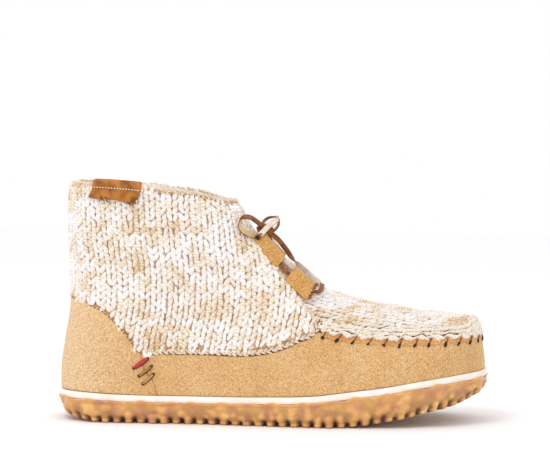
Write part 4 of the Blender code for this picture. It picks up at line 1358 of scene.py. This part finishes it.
# %% The vamp and the tongue: wales run along the foot
VAMP_BACK_X, VAMP_FRONT_X = -37.0, 127.3
vamp_stations = np.r_[np.arange(VAMP_BACK_X, 116, 3.0), np.linspace(116, VAMP_FRONT_X, 14)]
FURTHEST = 46.0  # from the ridge
SECTION_Y = np.linspace(0, FURTHEST, 93)
SPREAD = np.arange(-FURTHEST, FURTHEST + 0.1, 2.0)
sections = []
for station in vamp_stations:
    halves = [on_top(station + 0 * SECTION_Y, axis_y(station) + side * SECTION_Y) for side in (-1, 1)]
    left, right = (even(half, np.abs(SPREAD)) for half in halves)
    sections.append(np.where(SPREAD[:, None] < 0, left, right))
vamp_lines = list(np.swapaxes(sections, 0, 1))
vamp_flat = cloth_map(vamp_lines, SPREAD)


def vamp_cloth(across, up, above):
    """across runs over the ridge, and up runs back from the toe to the collar."""
    return vamp_flat(VAMP_LONG - up, across, above)


LOBE_HIGH, LOBE_SWELL, LOBE_FADE = 2.0, 1.5, 4.5
TOE_RISE, TOE_BEGINS_X = 3.4, 115  # the plug stands up straight at the toe


def lobed(points):
    """The plug's edge, pinched at each whip stitch and swollen between them."""
    lobe, height = seam_measure(points)
    near = np.exp(-((np.maximum(height, 0) / LOBE_FADE) ** 2)) * (points[:, 0] > SEAM_START_X - 3)
    swell = near * (LOBE_SWELL * lobe + 0.2)
    at_toe = smoothstep((points[:, 0] - TOE_BEGINS_X) / 10) * smoothstep(height / 6)
    lift = near * LOBE_HIGH * (1 - lobe) + TOE_RISE * at_toe
    return points + swell[:, None] * normals(points) + lift[:, None] * UPWARDS


VAMP_LONG = walk(vamp_lines[len(vamp_lines) // 2])[-1]
VAMP_LIFT = -0.75
TONGUE_FROM_X = 20.0
SEAM_TOP = 5.6  # of the plug's other stitches above the seam


def vamp_keep(tongue):
    """Says which stitches lie in the tongue, or in the plug in front of it."""

    def keep(centres):
        at = vamp_cloth(centres[:, 0], centres[:, 1], 0 * centres[:, 0])
        x, z = at[:, 0], at[:, 2]
        under = x < throat_x(z) - 9.0
        part = (x < TONGUE_FROM_X) & (z < collar_z(x) + 0.4) if tongue else x >= TONGUE_FROM_X
        return ~under & (z > seam_z(x) + SEAM_TOP) & part

    return keep


VAMP_WALES, VAMP_COURSES = 13, int(VAMP_LONG / COURSE)
for name, is_tongue, node in (("tongue_knit", True, "tongue"), ("vamp_knit", False, "upper")):
    knit(
        name,
        lambda across, up, above: lobed(vamp_cloth(across, up, above + VAMP_LIFT)),
        VAMP_WALES,
        VAMP_COURSES,
        vamp_keep(is_tongue),
        start=(-(VAMP_WALES - 1) / 2 * WALE, 1.0),
        seed=40,
        node=node,
    )

# %% [markdown]
# The plug ends in rows of stitches that run along the seam and swell over it in lobes. Each is a row
# of legs, three to a lobe. Three rows go all the way round, and two more stand at the toe.

# %% The plug's last stitches
PLUG_ROWS = chart("rise turn from_x", [
    (0.3, -1, 0), (2.9, 1, 0), (5.2, -1, 0), (2.6, -1, 112), (5.6, 1, 112),
])
PLUG_LEG, PLUG_LEG_VARIES = (6.0, 2.6, 2.8), 0.16
LEGS_A_LOBE = 3
places, at = [], []
draws = np.random.default_rng(77)
for row in PLUG_ROWS:
    rise = row["rise"]
    line = seam_line(rise, 0.6)
    out = normals(line)
    for number in range(-2, LEGS_A_LOBE * seam_stitches + 2):
        walked = FIRST_STITCH + (number + 0.5) * STITCH_PITCH / LEGS_A_LOBE + STITCH_LEAN * rise
        if not 0 <= walked <= seam_walked[-1] or on_seam(walked, seam_middle)[0] < row["from_x"]:
            continue
        way_out = on_seam(walked, out)
        k = min(int(np.searchsorted(seam_walked, walked)), len(line) - 2)
        along = unit(line[k + 1] - line[k - 1])
        across = np.cross(way_out, along)
        across = across * np.sign(across[2])
        way = along + row["turn"] * draws.normal(0.4, 0.28) * across
        size = PLUG_LEG * draws.normal(1, PLUG_LEG_VARIES, 3)
        places.append(aimed(on_seam(walked, line) + draws.normal(0, 0.15, 3), way, way_out, size))
        at.append((number / 3, rise))
shaped = copies(YARN_GRAIN, places, wool_colours(np.array(at), 78, 0.2))
shaped = lay(shaped, lobed(np.array([vert.co for vert in shaped.verts])))
told(piece("plug_edge_knit", shaped, [WOOL], "knit", ["upper"]))

# %% [markdown]
# ## The suede wall and heel counter
#
# Two suede parts wrap the foot: a counter round the heel, and a wall that runs from the counter
# round the toe. Each is a sheet between two lines of the pattern, with its thickness turned outward
# and its cut edge left square, then subdivided once so that the edge is soft.

# %% The wall and the counter
SUEDE_THICK, COUNTER_THICK = 1.5, 1.9
PUCKER = 0.5  # how far a whip stitch draws the wall in
HEM_ENDS_X = 27.0  # in front of this, the wall goes up to the seam


def suede_panel(name, high, grid, inside, from_toe, thickness, node):
    """A panel from the sole's top up to a height over x, with grid (rows, columns) of faces."""
    table = strip(lambda x: sole_top(x) + 0.1, high, *grid, inside, from_toe)
    points = table.reshape(-1, 3)
    lobe, height = seam_measure(points)
    near = np.exp(-((height / LOBE_FADE) ** 2)) * (points[:, 0] > SEAM_START_X)
    out = CLEAR - (PUCKER * (1 - lobe) * near).reshape(table.shape[:-1])
    obj = piece(name, facing_out(sheet_of(offset(table, out))), [SUEDE, SHADED_EDGE_SUEDE], "suede", [node])
    return told(round_off(thicken(obj, thickness, offset=1.0, rim=1)))


suede_panel(
    "suede_wall",
    high=lambda x: np.where(x < HEM_ENDS_X, hem_z(x) - 0.4, seam_z(x) - 0.2),
    grid=(14, 150),
    inside=lambda p: p[:, 0] - wall_back_x(p[:, 2]) + 0.5,
    from_toe=False,
    thickness=SUEDE_THICK,
    node="side_wall",
)
suede_panel(
    "suede_counter",
    high=lambda x: counter_z(x) - 0.3,
    grid=(18, 80),
    inside=lambda p: wall_back_x(p[:, 2]) - p[:, 0],
    from_toe=True,
    thickness=COUNTER_THICK,
    node="heel_counter",
)

# %% [markdown]
# ## The whip stitches
#
# Over the top of the wall runs a gathered band of suede. The plug swells over its upper edge, and its
# lower edge is drawn up between two stitches, so it shows as an orange line that widens at each
# stitch; its darker orange is partly painted shade under the plug. A stitch is a dark hole low on the
# band, a grain of painted shade, and a thread that climbs from it towards the knit.

# %% The gathered band
BAND = chart("rise out tuck drawn", [
    (-5.0, 1.1, 0, 2.0), (-4.3, 1.7, 0, 1.6), (-2.8, 2.1, 0.2, 0.6), (-1.4, 2.4, 0.4, 0.2),
    (0.2, 2.5, 0.9, 0), (1.8, 2.3, 1.8, 0), (3.4, 1.2, 1.6, 0),
])
BAND_THICK = 0.6
band_rows = []
for row in BAND:
    lobe = lobe_at(seam_walked - STITCH_LEAN * row["rise"])
    line = seam_line(row["rise"], row["out"] - row["tuck"] * lobe)
    band_rows.append(line + (row["drawn"] * lobe)[:, None] * UPWARDS)
shaped = facing_out(sheet_of(np.array(band_rows)))
band = piece("seam_band", shaped, [SHADED_EDGE_SUEDE], "suede", ["moc_seam"])
told(round_off(thicken(band, BAND_THICK)))

# %% The threads and their holes
HOLE_RISE, HOLE_OUT, HOLE_SIZE = -3.3, 2.3, (2.8, 1.9, 1.3)
THREAD_RISE, THREAD_OUT, THREAD_LONG = 1.6, 2.9, 4.4
threads, holes = [], []
draws = np.random.default_rng(33)
hole_line, thread_line = seam_line(HOLE_RISE, HOLE_OUT), seam_line(THREAD_RISE, THREAD_OUT)
for number in range(seam_stitches + 1):
    walked = FIRST_STITCH + number * STITCH_PITCH
    foot = on_seam(walked + STITCH_LEAN * HOLE_RISE, hole_line)
    head = on_seam(walked + STITCH_LEAN * THREAD_RISE, thread_line)
    up = normals(np.array([foot]))[0]
    size = (THREAD_LONG * draws.normal(1, 0.15), 1.0, 0.9)
    threads.append(aimed(0.6 * foot + 0.4 * head, head - foot, up, size))
    size = HOLE_SIZE * draws.normal(1, [0.25, 0.2, 0.05])
    # Each hole is a near-black grain of painted shade.
    holes.append(aimed(foot - 0.1 * up, head - foot + draws.normal(0, 0.8, 3), up, size))
told(piece("whip_threads", copies(YARN_GRAIN, threads), [RUST_THREAD_AND_SHADE], "suede", ["moc_seam"]))
told(piece("whip_holes", copies(YARN_GRAIN, holes), [PAINTED_HOLE_SHADE], "suede", ["moc_seam"]))

# %% [markdown]
# ## Machine stitching
#
# Three edges are sewn by machine: the counter's top, the quarter's hem and the collar. A machine
# stitch is a short thread that dips into the cloth at both ends, so each is one small grain. A fourth
# row of long, close dark dashes along the lower edge of the hem is painted shadow, not stitching.

# %% Rows of machine stitches
RUNS = chart("name first last columns height lift stitch gap wide thread slot node", [
    ("counter_stitches_", -112.0, -82.0, 60, lambda x: counter_z(x) - 1.5, COUNTER_THICK + 0.35,
     2.0, 0.7, 0.7, RUST_THREAD_AND_SHADE, "suede", "heel_counter"),
    ("hem_stitches_", -74.0, 25.0, 160, lambda x: hem_z(x) + 3.3, 2.4,
     2.3, 1.0, 0.7, TAN_THREAD, "knit", "upper"),
    # painted shadow: a dark line where the quarter's hem lies over the wall
    ("hem_shadow_", -74.0, 25.0, 160, lambda x: hem_z(x) - 0.3, 1.75,
     2.6, 0.1, 0.6, RUST_THREAD_AND_SHADE, "knit", "upper"),
    ("collar_stitches_", -78.0, -26.0, 90, lambda x: collar_z(x) - 2.2, 2.4,
     2.4, 0.8, 0.6, TAN_THREAD, "knit", "upper"),
])
for side, word in SIDES:
    for run in RUNS:
        x = np.linspace(run["first"], run["last"], run["columns"])
        line = on_side(x, run["height"](x), 0.0, side)
        line = even(line, np.arange(0, walk(line)[-1], (run["stitch"] + run["gap"]) / 2))
        out = normals(line)
        size = (run["stitch"], run["wide"], run["wide"])
        places = []
        for number in range(1, len(line) - 1, 2):
            way = line[number + 1] - line[number - 1]
            places.append(aimed(line[number] + run["lift"] * out[number], way, out[number], size))
        stitches = copies(THREAD_GRAIN, places)
        told(piece(run["name"] + word, stitches, [run["thread"]], run["slot"], [run["node"]]))

# %% [markdown]
# ## The cross stitches
#
# Where the wall meets the counter, three short thongs tie the two together on each side: a red one
# over an orange and a tan one. Each goes into a hole at both ends, and its holes and a gap under it
# are dark grains of painted shade.

# %% Three thongs a side
THONGS = chart("low high wide finish node", [
    ((-84.6, 34.2), (-76.5, 40.0), 2.5, RED_THREAD, "heel_counter"),
    ((-81.3, 29.4), (-74.2, 35.0), 1.7, ORANGE_THREAD, "side_wall"),
    ((-79.0, 24.7), (-73.0, 30.1), 1.7, TAN_THREAD, "side_wall"),
])
THONG_LIFT, THONG_THICK = 2.5, 1.7
THONG_HOLE = (2.6, 2.0, 1.5)
THONG_GRAIN = grain_of_yarn(12, 12, 0.75)
for side, word in SIDES:
    holes = []
    for number, thong in enumerate(THONGS, 1):
        x, z = np.array([thong["low"], thong["high"]]).T
        low, high = on_side(x, z, THONG_LIFT, side)
        middle, way, wide = (low + high) / 2, high - low, thong["wide"]
        out = normals(np.array([middle]))[0]
        long = np.linalg.norm(way) + 1.4
        place = aimed(middle + 0.3 * out, way, out, (long, wide, THONG_THICK))
        thread = copies(THONG_GRAIN, [place])
        told(piece(f"cross_stitch_{number}_{word}", thread, [thong["finish"]], "suede", [thong["node"]]))
        # Painted shade: a dark grain in the gap under the thong, and one at each of its holes.
        gap = (long + 1.4, wide + 0.3, 1.6)
        holes.append(aimed(middle - 0.4 * out - 0.5 * UPWARDS, way, out, gap))
        holes += [aimed(end, way, out, THONG_HOLE) for end in (low, high)]
    dark = copies(YARN_GRAIN, holes)
    told(piece("cross_stitch_holes_" + word, dark, [PAINTED_HOLE_SHADE], "suede", ["side_wall"]))

# %% [markdown]
# ## The lace
#
# The lace is a flat strip of leather, dark grain on one side and pale flesh on the other. It runs
# from the knot through both tabs of one side, across the front, and back up the other side, and its
# two ends are tied in a small bow. A strip can be a curve with a flat profile, but then both sides
# are one material. Here it is a narrow sheet laid along a line of points, turned to face where each
# row of its table says, with a thickness whose far side takes the second finish.

# %% A strip of leather along a route
LACE_WIDTH, LACE_THICK = 3.8, 1.1
LACE_STEP, LACE_ROWS = 1.2, 5  # between two columns of the sheet, and rows across it


def strip_of_leather(route, width=LACE_WIDTH, step=LACE_STEP):
    """The table of a strip: rows across it, columns along it. Each route row is a point and the way
    that the grain faces there. Returns the table and the line of its middle."""
    places = np.array([[*row["at"], *row["faces"]] for row in route], float)
    walked = walk(places[:, :3])
    stops = np.linspace(0, walked[-1], max(round(walked[-1] / step), 12) + 1)
    smooth = np.stack([hermite(stops, walked, places[:, k]) for k in range(6)], axis=1)
    middle, faces = smooth[:, :3], smooth[:, 3:]
    side = unit(np.cross(faces, unit(np.gradient(middle, axis=0))))
    shares = np.linspace(-0.5, 0.5, LACE_ROWS)
    return np.array([middle + share * width * side for share in shares]), middle


def leather_strip(name, table, finishes, node):
    """A piece from a strip's table, with its grain side in the first finish."""
    sheet = sheet_of(table)
    sheet.normal_update()
    obj = piece(name, sheet, finishes, "lace_leather", [node])
    thicken(obj, LACE_THICK, offset=0.0, rim=0, inner=1)
    return told(round_off(obj))


def free_lace(name, route, far_end, node, flesh, with_pieces=()):
    """A free stretch of the lace. Its measured length is printed."""
    table, middle = strip_of_leather(route)
    obj = leather_strip(name, table, [GRAIN, flesh], node)
    path = (middle - MIDDLE) * MM
    tuple(path[0])
    walk(path)[-1]
    [tuple(point) for point in path]
    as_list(with_pieces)
    print(f"{name}: {walk(middle)[-1]:.1f} mm of lace")


# %% The bow: two loops, two ends and the knot between them
BOW = dict(
    bow_loop_lateral=chart("at faces", [
        ((-6.6, -4.0, 118.0), (0.7, -0.6, 0.4)), ((-8.4, -6.6, 120.0), (0.7, -0.6, 0.4)),
        ((-12.1, -10.6, 123.3), (0.7, -0.6, 0.4)), ((-15.2, -15.2, 125.5), (0.6, -0.6, 0.5)),
        ((-17.6, -19.0, 126.1), (0.3, -0.7, 0.6)), ((-19.7, -22.2, 125.5), (-0.1, -0.5, 0.7)),
        ((-21.1, -24.6, 123.9), (-0.8, 0.0, 0.4)), ((-21.6, -26.0, 121.6), (-0.9, 0.4, 0.1)),
        ((-20.7, -26.2, 119.0), (-0.8, 0.6, -0.2)), ((-18.2, -24.2, 116.9), (-0.7, 0.65, -0.3)),
        ((-15.4, -20.4, 115.2), (-0.65, 0.65, -0.35)), ((-12.8, -15.8, 114.2), (-0.6, 0.65, -0.4)),
        ((-10.2, -11.0, 114.6), (-0.5, 0.65, -0.5)), ((-7.4, -6.4, 116.2), (-0.4, 0.65, -0.6)),
    ]),
    bow_loop_medial=chart("at faces", [
        ((-9.8, -15.4, 114.5), (0.0, 0.85, -0.5)), ((-8.0, -14.0, 116.4), (0.0, 0.85, -0.5)),
        ((-5.1, -11.4, 119.4), (0.0, 0.85, -0.5)), ((-2.1, -7.4, 122.2), (0.05, 0.85, -0.45)),
        ((0.6, -4.9, 124.2), (0.35, 0.85, -0.1)), ((1.4, -2.6, 124.8), (0.7, 0.5, 0.5)),
        ((0.2, -0.4, 125.3), (0.4, 0.1, 0.9)), ((-2.8, 1.6, 125.5), (0.0, -0.2, 1.0)),
        ((-5.6, 2.2, 124.7), (-0.4, -0.3, 0.8)), ((-7.6, 1.4, 123.1), (-0.7, -0.4, 0.6)),
        ((-8.4, -0.4, 121.0), (-0.8, -0.4, 0.3)), ((-7.8, -2.2, 119.0), (-0.8, -0.4, 0.1)),
    ]),
    lace_tail_lateral=chart("at faces", [
        ((-5.0, -4.0, 117.2), (0.53, -0.75, 0.4)), ((-2.4, -5.0, 115.0), (0.53, -0.75, 0.4)),
        ((0.2, -5.4, 113.0), (0.53, -0.75, 0.4)), ((3.4, -5.6, 109.6), (0.53, -0.75, 0.4)),
        ((6.9, -5.6, 105.1), (0.53, -0.75, 0.4)), ((9.8, -5.4, 100.9), (0.6, -0.6, 0.5)),
        ((12.0, -6.0, 98.2), (0.75, 0.1, 0.6)), ((14.4, -7.0, 96.0), (0.5, 0.8, 0.2)),
        ((19.0, -7.8, 92.0), (0.2, 0.95, -0.2)), ((23.4, -8.2, 88.2), (0.15, 0.95, -0.25)),
        ((27.6, -8.6, 84.6), (0.15, 0.95, -0.25)),
    ]),
    lace_tail_medial=chart("at faces", [
        ((-3.6, 0.4, 114.6), (-0.5, 0.0, -0.9)), ((-1.4, -1.6, 109.8), (-0.6, 0.2, -0.8)),
        ((0.6, -6.0, 105.2), (-0.5, 0.6, -0.6)), ((3.9, -9.8, 101.0), (-0.1, 0.9, -0.4)),
        ((8.9, -11.2, 96.8), (0.1, 0.9, -0.3)), ((13.4, -11.8, 92.8), (0.1, 0.9, -0.3)),
        ((18.4, -12.2, 88.4), (0.1, 0.9, -0.3)), ((23.2, -12.2, 84.2), (0.1, 0.9, -0.3)),
    ]),
)
KNOT_AT, KNOT_SIDES = (-5.4, -3.4, 117.4), (4.3, 3.4, 3.9)
KNOT_TILT, KNOT_BUMP = 42, 0.07  # in degrees, and as a share of its size

shaped = bmesh.new()
bmesh.ops.create_uvsphere(shaped, u_segments=20, v_segments=14, radius=1)
bmesh.ops.scale(shaped, vec=KNOT_SIDES, verts=shaped.verts)
bmesh.ops.rotate(shaped, matrix=Matrix.Rotation(math.radians(KNOT_TILT), 3, "Y"), verts=shaped.verts)
for vert in shaped.verts:
    vert.co *= 1 + KNOT_BUMP * math.sin(1.6 * vert.co.x + 2.2 * vert.co.z)
bmesh.ops.translate(shaped, vec=KNOT_AT, verts=shaped.verts)
knot = told(piece("bow_knot", shaped, [GRAIN], "lace_leather", ["lace_knot"]))

WRAPS = dict(
    bow_curl=chart("at faces", [
        ((-8.6, -14.4, 116.0), (0.3, 0.6, -0.7)), ((-10.3, -15.8, 115.1), (0.3, 0.1, -0.95)),
        ((-11.9, -16.4, 114.4), (0.75, 0.0, -0.65)), ((-12.4, -16.6, 113.3), (1.0, 0.0, 0.0)),
        ((-11.9, -16.6, 112.2), (0.7, 0.0, 0.7)), ((-10.8, -16.4, 111.8), (0.0, 0.0, 1.0)),
        ((-9.5, -15.8, 112.3), (-0.6, 0.1, 0.8)), ((-8.4, -14.4, 113.4), (-0.7, 0.3, 0.6)),
        ((-6.8, -10.6, 114.8), (-0.5, 0.4, 0.7)),
    ]),
    bow_turn=chart("at faces", [
        ((0.8, -3.6, 124.0), (0.9, 0.3, 0.1)), ((1.7, -2.6, 122.4), (0.9, 0.4, -0.2)),
        ((1.1, -2.0, 120.4), (0.8, 0.5, -0.4)), ((-0.6, -2.2, 118.0), (0.75, 0.45, -0.5)),
        ((-2.8, -2.8, 116.0), (0.7, 0.4, -0.6)),
    ]),
)
WRAP_WIDTH, WRAP_STEP = 2.6, 0.6
wraps = []
for name, route in WRAPS.items():
    table, _ = strip_of_leather(route, WRAP_WIDTH, WRAP_STEP)
    wraps.append(leather_strip(name, table, [GRAIN, TAN_FLESH], "lace_knot"))

# Painted shade: a near-black grain for the dark hollow inside the curl.
curl_shade = copies(YARN_GRAIN, [aimed((-10.8, -17.9, 113.2), (0, 1, 0), UPWARDS, (1.8, 2.6, 2.6))])
wraps.append(piece("bow_curl_inside", curl_shade, [PAINTED_HOLE_SHADE], "lace_leather", ["lace_knot"]))

CORDS = chart("name far_end node flesh with_pieces", [
    ("bow_loop_lateral", "knot", "lace_loop_lateral", TAN_FLESH, [knot, *wraps]),
    ("bow_loop_medial", "knot", "lace_loop_medial", FLESH, []),
    ("lace_tail_lateral", "bare", "lace_end_lateral", FLESH, []),
    ("lace_tail_medial", "bare", "lace_end_medial", FLESH, []),
])
for cord in CORDS:
    free_lace(route=BOW[cord["name"]], **cord)

# %% The lace through the tabs and across the front
MEDIAL_SHARE = 0.92  # the medial side's distances from the ridge, against the lateral side's
CROSSING_WIDTH = 2.9
LACE_SIDE = chart("station y above", [
    (-11.8, -4.4, 4.3), (-13.4, -6.4, 4.2), (-13.2, -8.8, 3.9), (-11.0, -10.6, 3.7), (2.0, -14.2, 3.7),
    (5.5, -16.4, 3.2), (10.0, -17.4, 3.0), (24.0, -22.4, 3.2), (26.6, -21.4, 3.0), (28.0, -18.5, 2.0),
    (28.4, -9.0, 1.8), (28.4, 0.0, 1.6),
])
whole = LACE_SIDE + [dict(row, y=-MEDIAL_SHARE * row["y"]) for row in LACE_SIDE[-2::-1]]
station, y, above = (column(whole, name) for name in ("station", "y", "above"))
walked = walk(on_top(station, axis_y(station) + y, above))
stops = np.linspace(0, walked[-1], round(walked[-1] / LACE_STEP) + 1)
station, y, above = (hermite(stops, walked, values) for values in (station, y, above))
middle = on_top(station, axis_y(station) + y, above)
route = chart("at faces", zip(middle[::2], normals(middle)[::2]))
table, _ = strip_of_leather(route, CROSSING_WIDTH)
leather_strip("lace_crossings_strip", table, [GRAIN, FLESH], "lace_crossings")

# %% [markdown]
# ## The tabs
#
# Each tab is a strip of suede folded round the lace and sewn down at its outer edge, so that it makes
# a small tunnel. Its outline across the tunnel is drawn once and swept along the throat.

# %% The four tabs
TABS = chart("name top bottom edge_top edge_bottom width sewn", [
    ("upper_tab", -11.0, 3.4, 16.2, 19.2, 10.4, False),
    ("lower_tab", 10.6, 25.2, 21.6, 28.2, 10.6, True),
])
TAB_COLUMNS, TAB_ABOVE, TAB_SWELL, TAB_THICK = 13, 1.3, 0.05, 1.0
TIES = 13  # ends of the zigzag of thread over a sewn end


def tab_profile(width):
    """The outside of a tab, from its sewn edge over the tunnel, round the fold and back underneath."""
    top = [(0.0, 0.2), (0.1, 1.6), (0.9, 2.4), (2.4, 2.6), (0.38 * width, 3.3), (0.52 * width, 4.4)]
    top += [(0.68 * width, 4.9), (width - 1.6, 4.8), (width - 0.4, 4.0), (width, 2.6), (width - 0.4, 1.1)]
    top += [(width - 1.6, 0.3), (0.6 * width, 0.1), (0.3 * width, 0.0), (0.0, 0.2)]
    return np.array(top)


def tab_ties(tab, side, profile):
    """Threads in a zigzag over the lower end of a tab."""
    share = np.linspace(0.06, 0.97, TIES)
    station = tab["bottom"] + 0.4 + np.where(np.arange(TIES) % 2, 0.5, -1.3)
    y = axis_y(station) + side * (tab["edge_bottom"] - share * tab["width"])
    line = on_top(station, y, 1.6 + np.interp(share * tab["width"], profile[:8, 0], profile[:8, 1]))
    ties = []
    for start, end in zip(line[:-1], line[1:]):
        size = (np.linalg.norm(end - start) + 0.5, 0.7, 0.7)
        ties.append(aimed((start + end) / 2, end - start, UPWARDS, size))
    return copies(THREAD_GRAIN, ties)


for tab in TABS:
    profile = tab_profile(tab["width"])
    for side, word in ((-1.0, "_lateral"), (MEDIAL_SHARE, "_medial")):
        node = tab["name"] + word
        table = []
        for share in np.linspace(0, 1, TAB_COLUMNS):
            station = tab["top"] + share * (tab["bottom"] - tab["top"])
            edge = tab["edge_top"] + share * (tab["edge_bottom"] - tab["edge_top"])
            swell = 1 + TAB_SWELL * math.sin(math.pi * share)
            y = axis_y(station) + side * (edge - profile[:, 0])
            table.append(on_top(station, y, TAB_ABOVE + swell * profile[:, 1]))
        shaped = sheet_of(np.array(table), closed=True)
        bmesh.ops.recalc_face_normals(shaped, faces=shaped.faces)
        facing_out(shaped, np.mean([vert.co for vert in shaped.verts], axis=0))
        obj = piece(node + "_suede", shaped, [TAB_SUEDE], "tab_suede", [node])
        told(round_off(thicken(obj, TAB_THICK)))
        if tab["sewn"]:
            threads = tab_ties(tab, side, profile)
            told(piece("tab_threads" + word, threads, [RUST_THREAD_AND_SHADE], "tab_suede", [node]))

# %% [markdown]
# ## The label
#
# A strip of brown leather is folded over the collar and sewn through near its fold. It is left bare.

# %% The folded label
LABEL_FOLD, LABEL_LOW = (-109.4, -80.4), (-112.0, -84.6)
LABEL_DROP, LABEL_INSIDE, LABEL_THICK = 9.6, 8.0, 1.2
LABEL_OUT, LABEL_BACK = 3.4, -3.3
LABEL_COLUMNS, LABEL_ROWS = 15, 22


def label_profile(fold_x, low_x, drop):
    """Points of (x, height above the collar, distance from the last), from the lower edge outside
    over the collar to the edge inside."""
    rows = [(low_x, -drop, LABEL_OUT), (0.3 * low_x + 0.7 * fold_x, -0.6 * drop, LABEL_OUT + 0.1)]
    rows += [(fold_x, -3.4, LABEL_OUT - 0.1), (fold_x, -1.4, LABEL_OUT - 0.2), (fold_x, 0.4, LABEL_OUT - 0.6)]
    rows += [(fold_x, 1.3, 1.8), (fold_x, 1.5, 0.0), (fold_x, 1.3, -1.8), (fold_x, 0.2, LABEL_BACK + 0.4)]
    rows += [(fold_x, -2.0, LABEL_BACK), (fold_x, -LABEL_INSIDE, LABEL_BACK)]
    return rows


table = []
for share in np.linspace(0, 1, LABEL_COLUMNS):
    fold_x = LABEL_FOLD[0] + share * (LABEL_FOLD[1] - LABEL_FOLD[0])
    low_x = LABEL_LOW[0] + share * (LABEL_LOW[1] - LABEL_LOW[0])
    drop = LABEL_DROP + 1.6 * share + 0.3 * math.sin(9 * share)
    rows = label_profile(fold_x, low_x, drop)
    line = np.array([on_side(x, collar_z(x) + rise, out, -1)[0] for x, rise, out in rows])
    table.append(even(line, np.linspace(0, walk(line)[-1], LABEL_ROWS)))
shaped = sheet_of(np.array(table))
shaped.normal_update()
label = piece("label_leather_bare", shaped, [LABEL_HIDE], "label_leather", ["collar_label"])
told(round_off(thicken(label, LABEL_THICK, offset=0.0)))

# %% The label's stitches and frayed threads
LABEL_STITCHES = 16
FRAYED = chart("x drop way", [
    (-84.8, 9.4, (0.7, 0, -1)), (-85.4, 10.6, (0.1, 0, -1)), (-86.6, 11.2, (-0.2, 0, -1)),
    (-83.6, 8.0, (1, 0, -0.5)), (-84.2, 9.9, (1, 0, -1.2)), (-104.0, 9.8, (-0.3, 0, -1)),
    (-100.5, 10.1, (0.4, 0, -1)), (-103.0, 10.2, (0.9, 0, -0.6)), (-87.6, 11.5, (1, 0, -0.4)),
])
FRAYED_LONG = 4.6
SIDEWAYS = (0, -1, 0)


def label_threads(name, places, thread):
    told(piece(name, copies(THREAD_GRAIN, places), [thread], "label_leather", ["collar_label"]))


stitch_x = np.linspace(LABEL_FOLD[0] + 1.2, LABEL_FOLD[1] - 1.0, LABEL_STITCHES + 1)
line = on_side(stitch_x, collar_z(stitch_x) - 3.0, LABEL_OUT + 0.8, -1)
ties = []
for start, end in zip(line[:-1], line[1:]):
    ties.append(aimed(start * 0.6 + end * 0.4, end - start, SIDEWAYS, (1.3, 0.9, 0.7)))
label_threads("label_stitches", ties, CREAM_THREAD)

draws = np.random.default_rng(5)
ties = []
for row in FRAYED:
    at = on_side(np.array([row["x"]]), collar_z(row["x"]) - row["drop"], LABEL_OUT + 0.9, -1)[0]
    size = (FRAYED_LONG * draws.uniform(0.7, 1.2), 0.95, 0.8)
    ties.append(aimed(at, row["way"], SIDEWAYS, size))
label_threads("label_frayed_threads", ties, RUST_THREAD_AND_SHADE)
